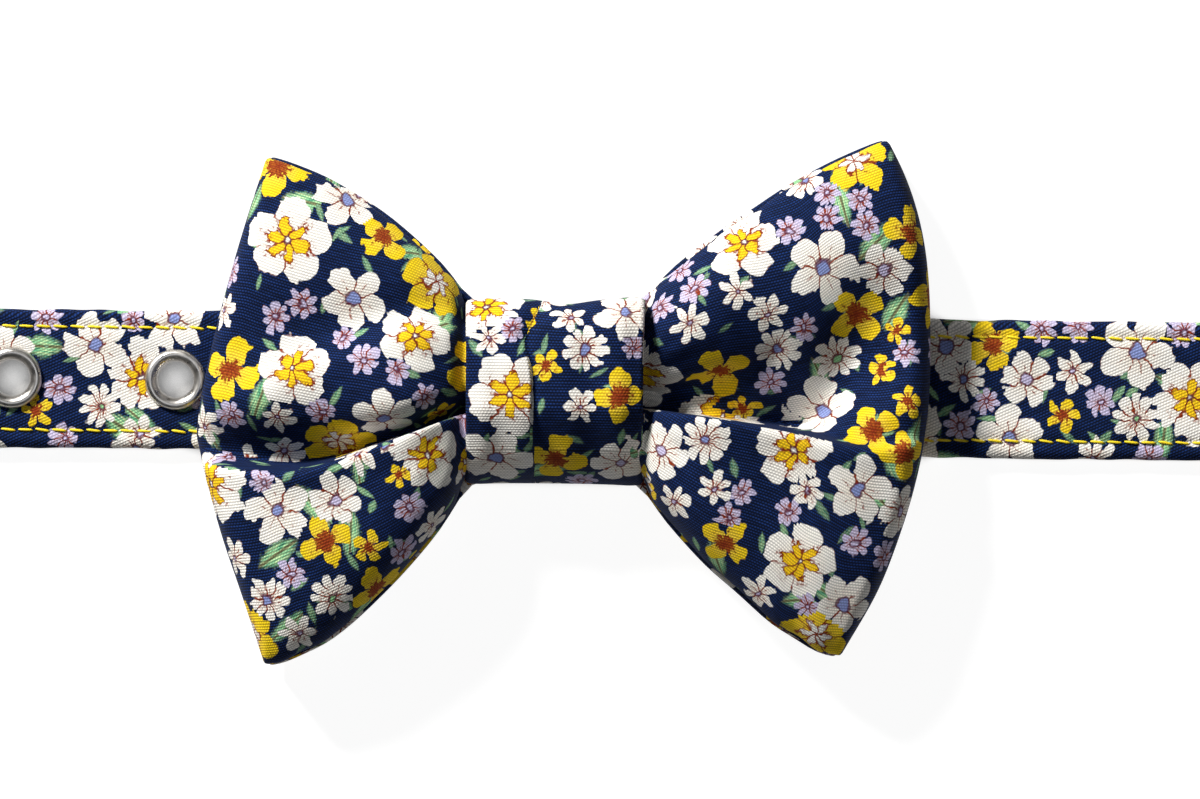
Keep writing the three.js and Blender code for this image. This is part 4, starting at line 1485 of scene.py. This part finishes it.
def build_eyelets():
    """The rolled eyelets, each turned from one profile."""
    profile = np.array([*EYELET_PROFILE, EYELET_PROFILE[0]])
    radius, height = respaced(profile, PROFILE_POINTS + 1)[:-1].T
    angles = np.linspace(0, 2 * np.pi, EYELET_SIDES, endpoint=False)
    for name in EYELETS:
        low, high = box_mm(name)
        centre = (low[:2] + high[:2]) / 2
        x = centre[0] + np.cos(angles)[:, None] * radius[None, :]
        y = centre[1] - np.sin(angles)[:, None] * radius[None, :]
        points = np.stack([x, y, np.broadcast_to(height, x.shape)], axis=-1)
        faces = ring_faces(EYELET_SIDES, len(height), True)
        ring = mesh_object(name.replace("eyelet", "eyelet_ring"), points, faces, NICKEL)
        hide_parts(name)


WIRE = 3.2  # thickness of the buckle's frame
FRAME_CORNER = 4.0
WIRE_SIDES, WIRE_PLACES = 24, 160
FAR_RAIL = BUCKLE_HIGH[0] - WIRE / 2 - 0.8  # the rail that the tongue rests on
TONGUE_HIGH = WIRE / 2 + 0.8  # of the tongue's middle over the bar's
TONGUE_PLACES = 60
TONGUE_WIDE, TONGUE_TIP, TONGUE_THICK = 1.5, 1.05, 0.78  # half widths at its root and tip, half thickness


def build_buckle_frame():
    """The buckle's rounded frame with its bar, bent from one thick wire."""
    half = BUCKLE_HIGH[1] - WIRE / 2
    corners = (
        (FAR_RAIL - FRAME_CORNER, half - FRAME_CORNER, 0.0),
        (BAR_X + FRAME_CORNER, half - FRAME_CORNER, 0.5),
        (BAR_X + FRAME_CORNER, FRAME_CORNER - half, 1.0),
        (FAR_RAIL - FRAME_CORNER, FRAME_CORNER - half, 1.5),
    )
    path = []
    for x, y, start in corners:
        for angle in np.pi * (start + np.linspace(0, 0.5, 10)):
            path.append((x + FRAME_CORNER * math.cos(angle), y + FRAME_CORNER * math.sin(angle), BAR_Z))
    path.append(path[0])
    places = respaced(np.array(path), WIRE_PLACES + 1)[:-1]
    ahead = unit(np.roll(places, -1, axis=0) - np.roll(places, 1, axis=0))
    side = np.cross(ahead, (0, 0, 1))
    angles = np.linspace(0, 2 * np.pi, WIRE_SIDES, endpoint=False)
    wide = np.sign(np.cos(angles)) * np.abs(np.cos(angles)) ** 0.8 * WIRE / 2
    tall = np.sign(np.sin(angles)) * np.abs(np.sin(angles)) ** 0.8 * WIRE / 2
    points = places[:, None] + side[:, None] * wide[None, :, None]
    points[..., 2] += tall[None, :]
    faces = ring_faces(len(places), WIRE_SIDES, True)[:, ::-1]
    piece = mesh_object("buckle_frame", points, faces, BUCKLE_NICKEL)
    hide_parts("buckle")


def build_tongue():
    """The buckle's tongue: flat wire, wrapped half round the bar and tapered to its tip on the far rail."""
    route = []
    for angle in np.linspace(-0.5 * np.pi, -1.5 * np.pi, 20):
        route.append((BAR_X + TONGUE_HIGH * math.cos(angle), 0, BAR_Z + TONGUE_HIGH * math.sin(angle)))
    route += [(x, 0, BAR_Z + TONGUE_HIGH) for x in np.linspace(BAR_X + 1, FAR_RAIL, 14)]
    route.append((FAR_RAIL + 1.2, 0, BAR_Z + TONGUE_HIGH - 0.15))
    route.append((BUCKLE_HIGH[0] - 0.1, 0, BAR_Z + TONGUE_HIGH - 0.5))
    line = respaced(np.array(route, float), TONGUE_PLACES)
    t = np.linspace(0, 1, TONGUE_PLACES)
    tip = smooth(0.955, 1.0, t)
    wide = mix(TONGUE_WIDE, TONGUE_TIP, smooth(0.45, 1, t)) * np.sqrt(1 - 0.85 * tip)
    thick = TONGUE_THICK * np.sqrt(1 - 0.8 * tip)
    ahead = unit(np.gradient(line, axis=0))
    out = np.stack([-ahead[:, 2], 0 * t, ahead[:, 0]], axis=1)
    angles = np.linspace(0, 2 * np.pi, WIRE_SIDES, endpoint=False)
    ring = np.stack([np.cos(angles), np.sin(angles)], axis=1)
    ring = np.sign(ring) * np.abs(ring) ** 0.6
    points = line[:, None] + out[:, None] * ring[None, :, 1:] * thick[:, None, None]
    points[..., 1] += ring[None, :, 0] * wide[:, None]
    piece = mesh_object("buckle_tongue", points, capped_tube(points), BUCKLE_NICKEL)
    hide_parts("buckle")


# ---------------------------------------------------------------- stage, light and camera

FLOOR_SIZE, FLOOR_DROP = 6, 0.0004  # the table's width, and how far it lies below the strap, in metres
GLOW_SEEN, GLOW_CAST = 0.92, 0.3  # the table's glow as it is seen, and as it lights the cloth


def build_stage():
    """A plain white light table, which glows so that shadows on it stay pale. Its glow is painted dimmer
    where it
    is closed in, as inside an eyelet: painted shade in the hollows."""
    bpy.ops.mesh.primitive_plane_add(size=FLOOR_SIZE, location=(0, 0, -FLOOR_DROP))
    floor = bpy.context.object
    floor.name = "floor"
    material, shader, node = new_material("opal acrylic light table")
    shader.inputs["Base Color"].default_value = linear("#8a8a8a")
    shader.inputs["Roughness"].default_value = 0.9
    shader.inputs["Emission Color"].default_value = (1, 1, 1, 1)
    # Ambient occlusion dims the glow, so that hollows such as the eyelets' holes get painted shade.
    openness = node("AmbientOcclusion", None, 0.006).outputs["AO"]
    painted_hollow_shade = node("MapRange", openness, 0.32, 0.55, 0.2, 1.0)
    diffuse_ray = node("LightPath").outputs["Is Diffuse Ray"]
    glow = node("MapRange", diffuse_ray, 0.0, 1.0, GLOW_SEEN, GLOW_CAST)
    strength = node("Math", painted_hollow_shade, glow, operation="MULTIPLY")
    material.node_tree.links.new(strength.outputs[0], shader.inputs["Emission Strength"])
    floor.data.materials.append(material)


# Lamps: name, place and width in metres, power in watts and colour.
LAMPS = (
    ("window", (-0.68, 0.92, 0.74), 0.3, 36.0, "#fffdf9"),
    ("sky", (0.05, -0.05, 1.3), 0.8, 1.6, "#f4f8ff"),
)
LIGHT_ALL_ROUND = 0.05


def area_light(name, place, size, power, colour):
    """A round lamp that points at the origin, which is under the knot."""
    data = bpy.data.lights.new(name, "AREA")
    data.shape = "DISK"
    data.size = size
    data.energy = power
    data.color = linear(colour)[:3]
    lamp = bpy.data.objects.new(name, data)
    lamp.location = place
    aim = -lamp.location
    lamp.rotation_euler = aim.to_track_quat("-Z", "Y").to_euler()
    bpy.context.scene.collection.objects.link(lamp)


def build_light():
    """A low window to the upper left, a weak sky overhead and a little light from all round."""
    for lamp in LAMPS:
        area_light(*lamp)
    world = bpy.data.worlds.new("studio")
    world.use_nodes = True
    background = world.node_tree.nodes["Background"]
    background.inputs["Color"].default_value = (1, 1, 1, 1)
    background.inputs["Strength"].default_value = LIGHT_ALL_ROUND
    bpy.context.scene.world = world
    bpy.context.scene.view_settings.view_transform = "Standard"


VIEW_WIDTH = 0.1764  # of the table that the camera sees
VIEW_CENTRE = (0.0066, -0.0022)
VIEW_DISTANCE = 1.0  # metres over the table
VIEW_ROLL = math.radians(0.66)
SENSOR = 36.0  # width in mm


def build_camera():
    """A camera straight above, far enough off that the bow shows with little perspective."""
    data = bpy.data.cameras.new("camera")
    data.sensor_width = SENSOR
    data.lens = SENSOR * VIEW_DISTANCE / VIEW_WIDTH
    camera = bpy.data.objects.new("camera", data)
    camera.location = (*VIEW_CENTRE, VIEW_DISTANCE)
    camera.rotation_euler = (0, 0, VIEW_ROLL)
    bpy.context.scene.collection.objects.link(camera)
    bpy.context.scene.camera = camera


build_camera()
build_light()
build_stage()
build_bow()
build_knot()
build_strap()
build_stitches()
build_eyelets()
build_buckle_frame()
build_tongue()
